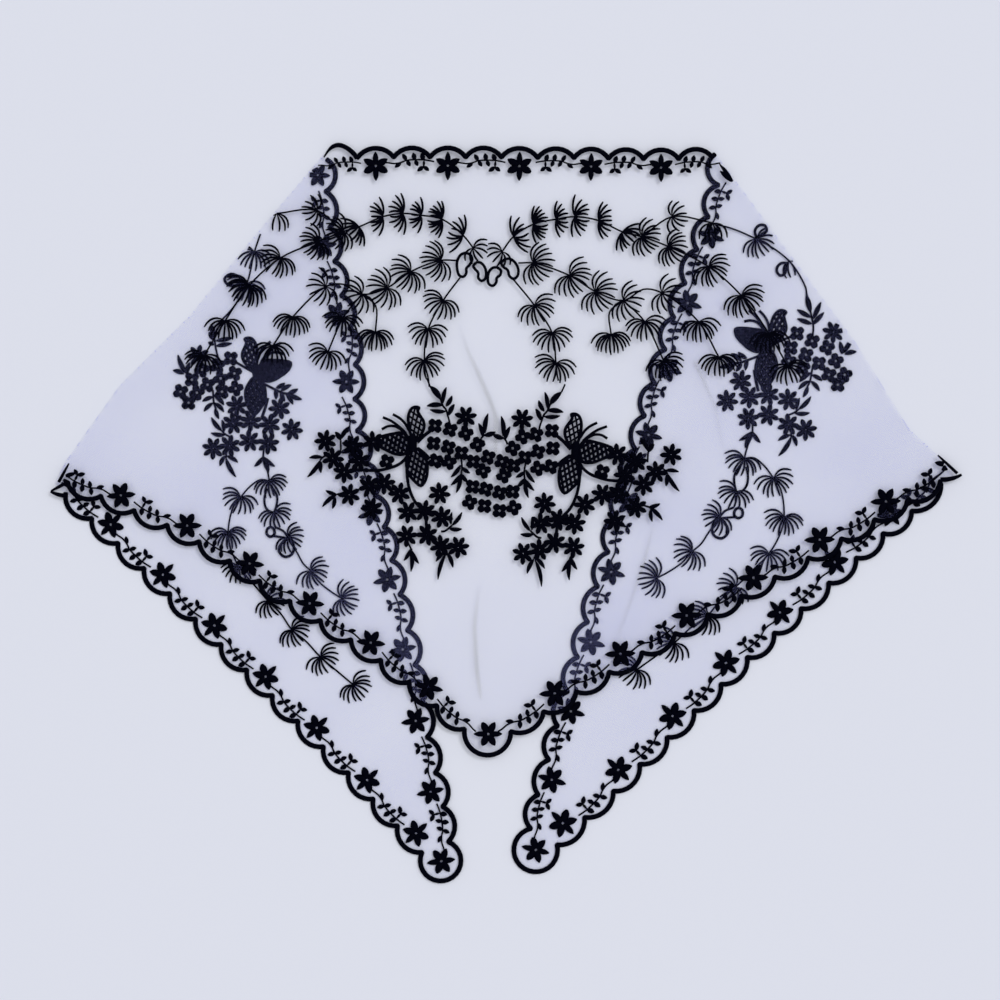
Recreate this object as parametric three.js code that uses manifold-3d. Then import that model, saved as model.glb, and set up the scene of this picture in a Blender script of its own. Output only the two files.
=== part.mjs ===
// Lace headscarf: a wide triangle of embroidered net, laid flat with both ends folded under.
// Millimetres, +Z up. X runs along the long edge, Y from the tip of the triangle to that edge.
import * as THREE from 'three';
import { mergeVertices } from 'three/addons/utils/BufferGeometryUtils.js';
import Module from 'manifold-3d';

const wasm = await Module();
wasm.setup();

// Heights: the folded ends lie lowest, and each sheet of net has its embroidery on top of it
const NET_THICKNESS = 1.0;
const STITCH_HEIGHT = 0.8;
const GAP = 0.3;
const ENDS_NET_Z = 0;
const ENDS_STITCH_Z = ENDS_NET_Z + NET_THICKNESS + GAP;
const PANEL_NET_Z = ENDS_STITCH_Z + STITCH_HEIGHT + GAP;
const PANEL_STITCH_Z = PANEL_NET_Z + NET_THICKNESS + GAP;

// Scalloped satin edge, with a larger scallop round each tip
const BAND_WIDTH = 3.6;
const BAND_HEIGHT = 1.6;
const SATIN_SCALLOP = { rise: 7.4, steps: 3 };
const NET_SCALLOP = { rise: 6, steps: 2 };
const NET_CLEARANCE = 0.6;
const TIP_RISE = 20;
const END_TIP_RISE = 27;
const TIP_STEPS = 6;

// Embroidery: stems, flowers of the border, tufts, bean loops, daisies, small blossoms and wings
const STEM_WIDTH = 1.4;
const GARLAND_INSET = 6.8;
const FLOWER_RADIUS = 10;
const TUFT_NECK = 2.5;
const TUFT_FRONT = 0.75;
const LOOP_LINE = 2.0;
const OVAL_STEPS = 8;
const DAISY_RADIUS = 9;
const DAISY_SIDES = 5;
const ROW_WIDTH = 9;
const WING_OVERLAP = 0.12;
const FOLD_STEPS = 4;
const SHARPEST_MITRE = 0.4;

// Folds and edges, from corner to corner around each sheet, with the sheet on the left of the way.
// The cusps between the scallops lie on the routes. Every second scallop has a flower under it.
// Columns: number of scallops, the first one with a flower, route
const RIGHT_FOLD = [[361, 29], [345, 46], [322, 67], [278, 138], [214, 224], [168, 286]];
const LEFT_FOLD = [[-145, 287], [-205, 216], [-252, 158], [-308, 102], [-350, 43], [-360, 24]];
const EDGES = {
  top: { scallops: 11, flower: 2, route: [[164, 284], [-4, 285], [-141, 285]] },
  leftLeg: { scallops: 13, flower: 2, route: [[-350, 26], [-300, 5], [-249, -19], [-172, -69], [-97, -118],
    [-33, -171]] },
  rightLeg: { scallops: 13, flower: 2, route: [[4, -173], [107, -111], [214, -50], [294, -4], [347, 27]] },
  leftEndLeg: { scallops: 14, flower: 2, route: [[-352, 17], [-288, -44], [-207, -124], [-126, -206],
    [-67, -270]] },
  leftEndLong: { scallops: 20, flower: 2, route: [[-46, -262], [-61, -153], [-79, -93], [-98, -10],
    [-114, 66], [-122, 118], [-137, 202], [-143, 281]] },
  rightEndLong: { scallops: 20, flower: 3, route: [[166, 281], [166, 262], [153, 212], [135, 158], [110, 79],
    [82, -30], [58, -112], [20, -251]] },
  rightEndLeg: { scallops: 14, flower: 1, route: [[40, -263], [106, -198], [192, -113], [280, -33],
    [348, 22]] },
};
const TIP_FLOWERS = { panel: [-14, -175], leftEnd: [-52, -277], rightEnd: [24, -268] };

// Vines of the left half; the right half mirrors them. Each point is a tuft that opens along the vine.
// Columns: reach of the tufts, points
const PANEL_VINES = [
  { reach: 13, points: [[-26, 213], [-35, 223], [-52, 236], [-68, 239], [-82, 242], [-98, 238], [-116, 230],
    [-130, 226], [-150, 218], [-180, 205], [-205, 183], [-224, 155], [-241, 127]] },
  { reach: 13, points: [[-130, 226], [-152, 243]] },
  { reach: 15, points: [[-36, 203], [-52, 203], [-76, 194], [-95, 180], [-115, 176], [-144, 181], [-170, 158],
    [-186, 135]] },
  { reach: 14, points: [[-115, 176], [-103, 165], [-104, 146]] },
  { reach: 14, points: [[-115, 176], [-130, 157], [-142, 130]] },
  { reach: 14, points: [[-34, 194], [-50, 171], [-62, 148], [-65, 124]] },
];
const END_VINES = [
  { reach: 14, points: [[-190, 47], [-189, 28], [-212, 14], [-222, -14], [-212, -41], [-189, -69],
    [-170, -91], [-148, -115], [-122, -136]] },
  { reach: 14, points: [[-189, 28], [-185, 1], [-174, -18], [-156, -43], [-130, -68]] },
];
// Bean loops on the vines. Columns: centre x, centre y, half width, half length, turn in degrees
const PANEL_BEANS = [
  [-33, 200, 5.6, 9.4, -20],
  [-21.5, 194, 4.6, 7.6, 20],
];
const END_BEANS = [
  [-187, 12, 3.6, 7.6, 10],
  [-183, -13, 4.2, 7.6, 60],
];
const BEAN_STEMS = [[[-26, 213], [-31, 207]], [[-29, 199], [-25, 197]]];

// Bouquets of the left half, measured from the body of their butterfly
const PANEL_BOUQUET = {
  daisies: [[43, 22], [-69, 3], [-62, -11], [-54, -22], [-50, -40], [-34, 2], [-46, -2], [-42, -14],
    [-34, -34], [-22, -32], [-10, -40], [23, -40], [-3, -54], [11, -54], [24, -58], [-4, -74], [12, -72],
    [23, -82], [37, -82]],
  blossomRows: [[[14, 15], [43, 9], [56, -12], [44, -16], [16, -15]], [[13, 0], [40, -5]],
    [[57, -12], [55, -26], [58, -38], [55, -54]]],
  stems: [[[-3, -54], [-10, -40], [-50, -40], [-62, -11], [-34, 2]], [[23, -40], [24, -58], [60, -50]],
    [[43, 22], [43, 9]], [[-3, -54], [-4, -74]], [[20, 0], [20, -15]], [[46, -35], [57, -36]]],
};
const END_BOUQUET = {
  daisies: [[-16, -28], [18, -30], [-18, -42], [-6, -40], [10, -43], [28, -46], [-35, -62], [-22, -60],
    [-6, -56], [10, -58], [-46, 12]],
  blossomRows: [[[-17, 10], [-44, 2], [-66, -18]], [[-14, -3], [-53, -7]],
    [[-12, -14], [-30, -19], [-54, -27]]],
  stems: [[[-46, 12], [-44, 2]], [[-17, 10], [-16, -28], [-22, -60]], [[-18, -42], [28, -46], [18, -30]],
    [[-22, -60], [10, -58]]],
};
// Butterfly wings, from its body. Columns: tip x, tip y, width
const WINGS = [
  [7, 28, 14],
  [-24, 2, 15],
  [8, -33, 14],
];

// Where each charted group lies: mirrored where side is -1, scaled and turned about its own point
// from, which comes to lie at the point at. The right half lies a little wider than the left.
const AS_DRAWN = { side: 1, scale: 1, turn: 0, from: [0, 0], at: [0, 0] };
const LIES = {
  rightPanelVines: { side: -1, scale: 1.08, turn: -0.2, from: [-15, 203], at: [-15, 200] },
  rightEndVines: { side: -1, scale: 1.065, turn: -5.5, from: [-199, 115], at: [210, 138] },
  leftBouquet: { ...AS_DRAWN, at: [-75, 57] },
  rightBouquet: { side: -1, scale: 1.02, turn: -4, from: [0, 0], at: [56, 51] },
  leftEndBouquet: { ...AS_DRAWN, at: [-199, 115] },
  rightEndBouquet: { side: -1, scale: 1.06, turn: -6, from: [0, 0], at: [210, 138] },
  leftEndButterfly: { side: -1, scale: 1, turn: 13, from: [0, 0], at: [-199, 115] },
  rightEndButterfly: { side: 1, scale: 1.06, turn: -19, from: [0, 0], at: [210, 138] },
};

// Colours and finishes
const NET_FINISH = { color: 0xdcdff0, roughness: 0.85, metalness: 0 };
const THREAD_FINISH = { color: 0x0b0c1a, roughness: 0.5, metalness: 0 };

const ORIGIN = new THREE.Vector2();
const point = ([x, y]) => new THREE.Vector2(x, y);
const heading = (from, to) => Math.atan2(to.y - from.y, to.x - from.x);
const onward = (from, angle, distance) => (
  new THREE.Vector2(distance, 0).rotateAround(ORIGIN, angle).add(from)
);

// Moves chart points to where their group lies
function lay(points, { side, scale, turn, from, at }) {
  const mirror = new THREE.Vector2(side * scale, scale);
  return points.map((entry) => point(entry).sub(point(from)).multiply(mirror)
    .rotateAround(ORIGIN, THREE.MathUtils.degToRad(turn)).add(point(at)));
}

// Arc from one point to the next that bulges to the right of the way, without its last point
function scallop(from, to, rise, steps) {
  const half = from.distanceTo(to) / 2;
  const radius = (half * half + rise * rise) / (2 * rise);
  const way = to.clone().sub(from).normalize();
  const outward = new THREE.Vector2(way.y, -way.x);
  const centre = from.clone().lerp(to, 0.5).addScaledVector(outward, rise - radius);
  const quarter = Math.asin(half / radius);
  const reach = rise > half ? Math.PI - quarter : quarter;
  return Array.from({ length: steps }, (_, step) => {
    const angle = reach * (2 * step / steps - 1);
    return centre.clone().addScaledVector(way, radius * Math.sin(angle))
      .addScaledVector(outward, radius * Math.cos(angle));
  });
}

// The cusps of one edge, evenly spaced along a smooth curve through its route
function cusps({ route, scallops }) {
  const points = route.map(([x, y]) => new THREE.Vector3(x, y, 0));
  const curve = new THREE.CatmullRomCurve3(points, false, 'centripetal');
  return curve.getSpacedPoints(scallops).map(({ x, y }) => new THREE.Vector2(x, y));
}

// The scalloped line of one edge, from its first cusp to its last
function scalloped(edge, { rise, steps }) {
  const ends = cusps(edge);
  const arcs = ends.slice(1).flatMap((end, index) => scallop(ends[index], end, rise, steps));
  return [...arcs, ends[edge.scallops]];
}

// A line moved sideways to its right by a distance, mitred at its corners
function beside(points, distance) {
  return points.map((p, index) => {
    const before = points[Math.max(index - 1, 0)];
    const after = points[Math.min(index + 1, points.length - 1)];
    const leave = (p.equals(after) ? p : after).clone().sub(p.equals(after) ? before : p).normalize();
    const arrive = p.equals(before) ? leave : p.clone().sub(before).normalize();
    const mean = arrive.clone().add(leave).normalize();
    const mitre = distance / Math.max(mean.dot(arrive), SHARPEST_MITRE);
    return p.clone().add(new THREE.Vector2(mean.y, -mean.x).multiplyScalar(mitre));
  });
}

// Outline of a strip of one width that follows a line
const strip = (points, width) => [...beside(points, width / 2), ...beside(points, -width / 2).reverse()];

// Outline of a strand: stations along a line, each with its heading and half width
function strand(stations) {
  const sides = stations.map(({ centre, angle, half }) => {
    const across = new THREE.Vector2(0, half).rotateAround(ORIGIN, angle);
    return [centre.clone().add(across), centre.clone().sub(across)];
  });
  return [...sides.map(([left]) => left), ...sides.map(([, right]) => right).reverse()];
}

// Stations of a vine: each tuft opens from a narrow neck to its side tips and closes on the stem ahead
function vineStations(points, reach) {
  const final = points.length - 1;
  const headings = points.slice(1).map((p, index) => heading(points[index], p));
  const stations = [{ centre: points[0], angle: headings[0], half: STEM_WIDTH / 2 }];
  for (let index = 1; index <= final; index += 1) {
    const arrive = headings[index - 1];
    const leave = index < final ? headings[index] : arrive;
    const square = heading(ORIGIN, onward(onward(ORIGIN, arrive, 1), leave, 1));
    const room = index < final ? TUFT_FRONT * points[index].distanceTo(points[index + 1]) : reach;
    stations.push(
      { centre: onward(points[index], arrive, -TUFT_NECK), angle: arrive, half: STEM_WIDTH / 2 },
      { centre: points[index], angle: square, half: reach },
      { centre: onward(points[index], leave, Math.min(reach, room)), angle: leave, half: STEM_WIDTH / 2 },
    );
  }
  return stations;
}

// Stations of a flower on a stem: six petal tips, two of them square to the stem
function flowerStations(centre, angle) {
  const step = FLOWER_RADIUS * Math.sin(Math.PI / 3);
  const widths = [[-step - STEM_WIDTH, STEM_WIDTH / 2], [-step, FLOWER_RADIUS / 2], [0, FLOWER_RADIUS],
    [step, FLOWER_RADIUS / 2], [step + STEM_WIDTH, STEM_WIDTH / 2]];
  return widths.map(([way, half]) => ({ centre: onward(centre, angle, way), angle, half }));
}

// Closed oval outline around a centre
function oval(centre, halfWidth, halfLength, turn = 0, steps = OVAL_STEPS) {
  return Array.from({ length: steps }, (_, index) => {
    const angle = index * 2 * Math.PI / steps;
    const p = new THREE.Vector2(halfWidth * Math.cos(angle), halfLength * Math.sin(angle));
    return p.rotateAround(ORIGIN, turn).add(centre);
  });
}

const closedSolid = (positions, faces) => new wasm.Manifold(new wasm.Mesh({
  numProp: 3,
  vertProperties: new Float32Array(positions),
  triVerts: new Uint32Array(faces),
}));

// Flat plate of an outline, with any holes, from a height up
function plate(outline, z, height, holes = []) {
  const shape = new THREE.Shape(outline);
  shape.holes = holes.map((hole) => new THREE.Path(hole));
  const geometry = new THREE.ExtrudeGeometry(shape, { depth: height, bevelEnabled: false });
  geometry.translate(0, 0, z);
  geometry.deleteAttribute('normal');
  geometry.deleteAttribute('uv');
  const merged = mergeVertices(geometry);
  return closedSolid(merged.attributes.position.array, merged.index.array);
}

const fuse = (solids) => solids.reduce((whole, next) => whole.add(next));
const stitched = (outlines, z) => fuse(outlines.map((outline) => plate(outline, z, STITCH_HEIGHT)));

// Net turned back on itself along a fold: a strip bent half round, from the lower sheet to the upper
function foldTurn(route) {
  const outer = (PANEL_NET_Z + NET_THICKNESS) / 2;
  const inner = outer - NET_THICKNESS;
  const bend = (radius, from, to) => Array.from({ length: FOLD_STEPS + 1 }, (_, step) => {
    const angle = THREE.MathUtils.lerp(from, to, step / FOLD_STEPS);
    return [radius * Math.cos(angle), outer + radius * Math.sin(angle)];
  });
  const section = [[-GAP, 0], ...bend(outer, -Math.PI / 2, Math.PI / 2), [-GAP, 2 * outer],
    [-GAP, outer + inner], ...bend(inner, Math.PI / 2, -Math.PI / 2), [-GAP, NET_THICKNESS]];
  const line = route.map(point);
  const rings = section.map(([out, z]) => beside(line, out).map((p) => [p.x, p.y, z]));
  const corner = (ring, step) => (ring % section.length) * line.length + step;
  const faces = [];
  for (let ring = 0; ring < section.length; ring += 1) {
    for (let step = 0; step < line.length - 1; step += 1) {
      faces.push(corner(ring, step), corner(ring, step + 1), corner(ring + 1, step + 1));
      faces.push(corner(ring, step), corner(ring + 1, step + 1), corner(ring + 1, step));
    }
  }
  for (const [a, b, c] of THREE.ShapeUtils.triangulateShape(section.map(point), [])) {
    faces.push(corner(a, 0), corner(b, 0), corner(c, 0));
    faces.push(corner(a, line.length - 1), corner(c, line.length - 1), corner(b, line.length - 1));
  }
  return closedSolid(rings.flat(2), faces);
}

// Scalloped lines of the panel's top and legs and of both folded ends
function scallopLines(cut) {
  const tip = (before, after, rise) => {
    const from = point(before.route[before.route.length - 1]);
    return scallop(from, point(after.route[0]), rise, TIP_STEPS).slice(1);
  };
  const legs = (first, second, rise) => [...scalloped(first, cut), ...tip(first, second, rise),
    ...scalloped(second, cut)];
  return {
    top: scalloped(EDGES.top, cut),
    legs: legs(EDGES.leftLeg, EDGES.rightLeg, TIP_RISE),
    leftEnd: legs(EDGES.leftEndLeg, EDGES.leftEndLong, END_TIP_RISE),
    rightEnd: legs(EDGES.rightEndLong, EDGES.rightEndLeg, END_TIP_RISE),
  };
}

// Net ground: the panel, both folded ends and the turns between them, just inside the satin edge
function netGround() {
  const { top, legs, leftEnd, rightEnd } = scallopLines(NET_SCALLOP);
  const inside = (line) => beside(line, -BAND_WIDTH / 2 - NET_CLEARANCE);
  const left = LEFT_FOLD.map(point);
  const right = RIGHT_FOLD.map(point);
  return fuse([
    plate([...inside(top), ...left, ...inside(legs), ...right], PANEL_NET_Z, NET_THICKNESS),
    plate([...left, ...inside(leftEnd)], ENDS_NET_Z, NET_THICKNESS),
    plate([...right, ...inside(rightEnd)], ENDS_NET_Z, NET_THICKNESS),
    foldTurn(LEFT_FOLD),
    foldTurn(RIGHT_FOLD),
  ]);
}

const satinEdge = (line, z) => plate(strip(line, BAND_WIDTH), z, BAND_HEIGHT);

// Border flowers under every second scallop, on one stem
function garland(edge, z) {
  const line = beside(cusps(edge), -GARLAND_INSET);
  const stations = [];
  for (let index = edge.flower; index <= edge.scallops; index += 2) {
    const [from, to] = [line[index - 1], line[index]];
    stations.push(...flowerStations(from.clone().lerp(to, 0.5), heading(from, to)));
  }
  return stitched([strand(stations)], z);
}

const tipFlower = (centre, z) => stitched([strand(flowerStations(point(centre), 0))], z);

// Vines with tufts, and the bean loops that they spring from
function vines(rows, beans, stems, lie, z) {
  const loops = beans.map(([x, y, halfWidth, halfLength, turn]) => {
    const [centre] = lay([[x, y]], lie);
    const angle = THREE.MathUtils.degToRad(lie.side * turn + lie.turn);
    const hole = oval(centre, halfWidth - LOOP_LINE, halfLength - LOOP_LINE, angle);
    return plate(oval(centre, halfWidth, halfLength, angle), z, STITCH_HEIGHT, [hole]);
  });
  const outlines = [
    ...rows.map(({ reach, points }) => strand(vineStations(lay(points, lie), reach))),
    ...stems.map((stem) => strip(lay(stem, lie), STEM_WIDTH)),
  ];
  return fuse([...loops, stitched(outlines, z)]);
}

// Daisies, rows of small blossoms and the stems that join them
function bouquet({ daisies, blossomRows, stems }, lie, z) {
  return stitched([
    ...lay(daisies, lie).map((centre) => oval(centre, DAISY_RADIUS, DAISY_RADIUS, 0, DAISY_SIDES)),
    ...blossomRows.map((row) => strip(lay(row, lie), ROW_WIDTH)),
    ...stems.map((stem) => strip(lay(stem, lie), STEM_WIDTH)),
  ], z);
}

// Butterfly of three wings that meet at the body
function butterfly(lie, z) {
  return stitched(WINGS.map(([x, y, width]) => {
    const [body, tip] = lay([[0, 0], [x, y]], lie);
    const half = tip.distanceTo(body) * (1 + WING_OVERLAP) / 2;
    return oval(onward(tip, heading(tip, body), half), width / 2, half, heading(body, tip) - Math.PI / 2);
  }), z);
}

const bands = scallopLines(SATIN_SCALLOP);
const pieces = {
  net_ground: netGround(),
  top_satin_edge: satinEdge(bands.top, PANEL_NET_Z),
  legs_satin_edge: satinEdge(bands.legs, PANEL_NET_Z),
  left_end_satin_edge: satinEdge(bands.leftEnd, ENDS_NET_Z),
  right_end_satin_edge: satinEdge(bands.rightEnd, ENDS_NET_Z),
  top_garland: garland(EDGES.top, PANEL_STITCH_Z),
  left_leg_garland: garland(EDGES.leftLeg, PANEL_STITCH_Z),
  right_leg_garland: garland(EDGES.rightLeg, PANEL_STITCH_Z),
  panel_tip_flower: tipFlower(TIP_FLOWERS.panel, PANEL_STITCH_Z),
  left_end_leg_garland: garland(EDGES.leftEndLeg, ENDS_STITCH_Z),
  left_end_long_garland: garland(EDGES.leftEndLong, ENDS_STITCH_Z),
  left_end_tip_flower: tipFlower(TIP_FLOWERS.leftEnd, ENDS_STITCH_Z),
  right_end_leg_garland: garland(EDGES.rightEndLeg, ENDS_STITCH_Z),
  right_end_long_garland: garland(EDGES.rightEndLong, ENDS_STITCH_Z),
  right_end_tip_flower: tipFlower(TIP_FLOWERS.rightEnd, ENDS_STITCH_Z),
  left_panel_vines: vines(PANEL_VINES, PANEL_BEANS, BEAN_STEMS, AS_DRAWN, PANEL_STITCH_Z),
  right_panel_vines: vines(PANEL_VINES, PANEL_BEANS, BEAN_STEMS, LIES.rightPanelVines, PANEL_STITCH_Z),
  left_end_vines: vines(END_VINES, END_BEANS, [], AS_DRAWN, ENDS_STITCH_Z),
  right_end_vines: vines(END_VINES, END_BEANS, [], LIES.rightEndVines, ENDS_STITCH_Z),
  left_bouquet: bouquet(PANEL_BOUQUET, LIES.leftBouquet, PANEL_STITCH_Z),
  right_bouquet: bouquet(PANEL_BOUQUET, LIES.rightBouquet, PANEL_STITCH_Z),
  left_end_bouquet: bouquet(END_BOUQUET, LIES.leftEndBouquet, ENDS_STITCH_Z),
  right_end_bouquet: bouquet(END_BOUQUET, LIES.rightEndBouquet, ENDS_STITCH_Z),
  left_butterfly: butterfly(LIES.leftBouquet, PANEL_STITCH_Z),
  right_butterfly: butterfly(LIES.rightBouquet, PANEL_STITCH_Z),
  left_end_butterfly: butterfly(LIES.leftEndButterfly, ENDS_STITCH_Z),
  right_end_butterfly: butterfly(LIES.rightEndButterfly, ENDS_STITCH_Z),
};

const scarf = new THREE.Group();
for (const [name, solid] of Object.entries(pieces)) {
  const { vertProperties, triVerts } = solid.getMesh();
  const geometry = new THREE.BufferGeometry();
  geometry.setAttribute('position', new THREE.BufferAttribute(new Float32Array(vertProperties), 3));
  geometry.setIndex(new THREE.BufferAttribute(new Uint32Array(triVerts), 1));
  geometry.computeVertexNormals();
  const finish = name === 'net_ground' ? NET_FINISH : THREAD_FINISH;
  const piece = new THREE.Mesh(geometry, new THREE.MeshStandardMaterial(finish));
  piece.name = name;
  scarf.add(piece);
}

// The origin is the middle of the scarf's footprint, on the surface that it lies on
const middle = new THREE.Box3().setFromObject(scarf).getCenter(new THREE.Vector3());
scarf.position.set(-middle.x, -middle.y, 0);

export default scarf;
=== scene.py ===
"""Lace headscarf, laid flat with both ends folded under: its looks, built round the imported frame.

The frame is in metres, +Z up. The charts are in millimetres on the footprint, and name the same places
as the solids do. Each sub-assembly is a class that works out its stitches and builds one piece.
"""

import logging
import math
from dataclasses import dataclass, field
from enum import Enum
from itertools import pairwise

import bpy
import numpy as np
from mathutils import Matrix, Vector, geometry
from numpy.typing import ArrayLike


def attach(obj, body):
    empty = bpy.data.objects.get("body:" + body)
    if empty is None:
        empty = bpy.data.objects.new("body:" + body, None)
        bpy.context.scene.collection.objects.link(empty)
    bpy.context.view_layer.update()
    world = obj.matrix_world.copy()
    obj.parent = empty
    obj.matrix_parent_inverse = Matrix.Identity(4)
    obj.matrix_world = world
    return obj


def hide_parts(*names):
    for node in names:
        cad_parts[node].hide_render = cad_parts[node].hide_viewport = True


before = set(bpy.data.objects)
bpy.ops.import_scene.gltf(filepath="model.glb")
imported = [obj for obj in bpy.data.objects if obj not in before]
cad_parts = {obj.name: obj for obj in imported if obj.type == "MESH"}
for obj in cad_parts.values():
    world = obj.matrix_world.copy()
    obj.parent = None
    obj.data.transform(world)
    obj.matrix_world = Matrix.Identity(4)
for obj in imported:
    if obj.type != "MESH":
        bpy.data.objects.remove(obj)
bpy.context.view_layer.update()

LOG = logging.getLogger("headscarf")
MM = 0.001
CHART_SHIFT = (-0.37, -0.16)  # from the charts' origin to the middle of the footprint

# Scalloped satin edge
BAND_HALF = 2.0
BAND_END = 0.7  # share of that at a cusp
BAND_OVERLAP = 0.3  # how far a scallop runs on past its cusps, in steps of its arc
BAND_STEPS = 9
TIP_STEPS = 20
SATIN_RISE = 7.4
CHART_SCALLOP = 28.5  # scallop that the border sprig is charted for
GARLAND_INSET = 6.8
NO_TURNING = 99  # past the last scallop of every edge

# Tips: the edge that comes to each, the edge that leaves it, and the rise of the scallop between them
TIPS = {
    "panel": ("left_leg", "right_leg", 20.0),
    "left": ("left_end_leg", "left_end_long", 28.0),
    "right": ("right_end_long", "right_end_leg", 30.0),
}

# Thread
STEM_HALF = 0.7
SPRIG_HALF = 0.66
LINK_HALF = 0.95
PALM_HALF = 0.86
BRUSH_HALF = 0.93
LOOP_HALF = 1.15
FEELER_HALF = 1.1
WING_BORDER_HALF = 1.25
BODY_HALF = 3.6
DAISY_HALF, DAISY_REACH = 2.0, 9.0
BLOSSOM_HALF, BLOSSOM_REACH = 2.9, 6.3
TUFT_RAGGED = 0.045  # how much the strands of a tuft differ in length, as a share of its reach
TUFT_SWAY = 2.5  # and in their angle, in degrees
PALM_INNER = 0.9  # a tuft is a palm where its middle strands are longer than this share
LEAF_BOW = 0.06

# Shares of a stroke's half width, evenly spaced from its base to its tip
LEAF = (0.25, 0.78, 1.0, 0.98, 0.7, 0.22)
LONG_PETAL = (0.7, 0.95, 1.05, 1.0, 0.72, 0.15)
BLUNT_PETAL = (0.6, 0.85, 1.0, 1.02, 0.8, 0.3)
DAISY_PETAL = (0.5, 0.7, 0.9, 1.03, 0.92, 0.3)
ROUND_LOBE = (0.75, 0.95, 1.0, 0.92, 0.55)
STRAND = (0.3, 0.7, 0.95, 1.0, 1.0, 0.95, 0.6)
SPIKE = (1.0, 1.0, 0.95, 0.85, 0.7, 0.5)

# Folds and edges, as in the solids. The sheet is on the left of the way.
RIGHT_FOLD = [(361, 29), (345, 46), (322, 67), (278, 138), (214, 224), (168, 286)]
LEFT_FOLD = [(-145, 287), (-205, 216), (-252, 158), (-308, 102), (-350, 43), (-360, 24)]

# Net: how much of the waves the ends have, and how densely its threads are drawn, 1 where the panel is
# smooth. Denser thread in the ends, the turns and the creases is painted shade, and the panel is drawn
# darker toward its tip
ENDS_SWELL = 0.8
ENDS_PAINTED_SHADE = 3.1
TURN_PAINTED_SHADE = 3.0
CREASE_PAINTED_SHADE = 3.4
LOW_DARKENING = 1.6
NET_STEPS = 4  # steps of its outline in a scallop
NET_TIP_STEPS = 12

# Pressed creases of the panel: points that each runs through, and its height there
CREASE_HALF = 1.9
CREASES = (
    ((-36, 148, 0.5), (-30, 130, 1.2), (-22.5, 114, 1.9), (-12.5, 91, 2.6), (-8, 78, 2.6), (-8, 40, 1)),
    ((-22, -62, 0.6), (-25, -89, 1.3), (-24, -107, 1.8), (-23, -125, 1.8), (-20, -146, 0.8)),
    ((118, -8, 0.6), (110.5, -37, 1.4), (100, -69, 0.8), (90, -96, 0.6)),
    ((150, 122, 1), (156, 111, 1.4), (168, 84, 0.8), (176, 40, 0.3)),
)


class Layer(Enum):
    """Height of a net sheet over the floor, in millimetres."""

    ENDS = 0.5
    PANEL = 2.9


class Way(Enum):
    """Which way along its edge a border sprig grows from its flower."""

    ONWARD = 1
    BACK = -1


@dataclass(frozen=True)
class Edge:
    """One scalloped edge: a route through its cusps and the rhythm of its border.

    first is the scallop with the first flower, and turning the one after which the sprigs grow the
    other way. lean turns the flowers, and inset is how far inside the cusps they lie.
    """

    scallops: int
    first: int
    way: Way
    route: tuple
    turning: int = NO_TURNING
    lean: float = 0.0
    inset: float = GARLAND_INSET

    def cusps(self) -> np.ndarray:
        """The route itself where it names every cusp, or else even steps along a curve through it.

        Returns:
            One row for each cusp, in chart millimetres.
        """
        if len(self.route) == self.scallops + 1:
            return np.asarray(self.route, float)
        line = smooth(self.route, 24)
        run = np.concatenate([[0], np.cumsum(np.linalg.norm(np.diff(line, axis=0), axis=1))])
        marks = np.linspace(0, run[-1], self.scallops + 1)
        return np.stack([np.interp(marks, run, line[:, k]) for k in (0, 1)], axis=1)


EDGES = {
    "top": Edge(
        11,
        2,
        Way.ONWARD,
        (
            (165, 285), (138, 284), (110, 284), (82, 284.5), (54.5, 285), (25.5, 285), (-3.5, 285.5),
            (-32, 285.5), (-60.5, 285.5), (-89.5, 285.5), (-118.5, 285), (-143, 284),
        ),
        6,
    ),
    "left_leg": Edge(
        13,
        2,
        Way.BACK,
        ((-350, 26), (-300, 5), (-249, -19), (-172, -69), (-97, -118), (-33, -171)),
        lean=62,
    ),
    "right_leg": Edge(
        13, 2, Way.ONWARD, ((4, -173), (107, -111), (214, -50), (294, -4), (347, 27)), lean=-62, inset=7.8
    ),
    "left_end_leg": Edge(
        14, 2, Way.ONWARD, ((-352, 17), (-288, -44), (-207, -124), (-126, -206), (-67, -270))
    ),
    "left_end_long": Edge(
        20,
        2,
        Way.ONWARD,
        (
            (-46, -261.5), (-50.5, -233.5), (-56.5, -206.5), (-63, -178), (-67.5, -149.5), (-72.8, -120),
            (-78.8, -92.5), (-84.8, -64), (-91.5, -36.5), (-97.5, -10), (-105, 15.5), (-112, 41.5),
            (-119, 67), (-121, 92.5), (-120.5, 120), (-125, 149), (-131.5, 175), (-137, 202.5),
            (-141, 229.5), (-144, 258.5), (-143, 284),
        ),
    ),
    "right_end_leg": Edge(
        14,
        1,
        Way.BACK,
        (
            (41, -264), (63, -242), (86, -221), (107, -199.5), (129, -178), (150.5, -156.5), (172, -135.5),
            (193, -114), (214.5, -94.5), (236, -75), (258, -54.5), (280, -34.5), (301.5, -15), (324.5, 3),
            (348, 24.5),
        ),
        inset=9.0,
    ),
    "right_end_long": Edge(
        20,
        3,
        Way.BACK,
        (
            (167, 288), (170, 263.5), (162, 238), (153, 212), (143.5, 185), (134.5, 157.5), (127.5, 132),
            (119, 105), (111, 79), (104, 52), (95, 25), (88, -2.5), (82, -30), (73.5, -57.5),
            (65.5, -86), (57.5, -114), (49.5, -141.5), (41.5, -169), (34.5, -196), (26, -224), (20, -251),
        ),
    ),
}


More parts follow.
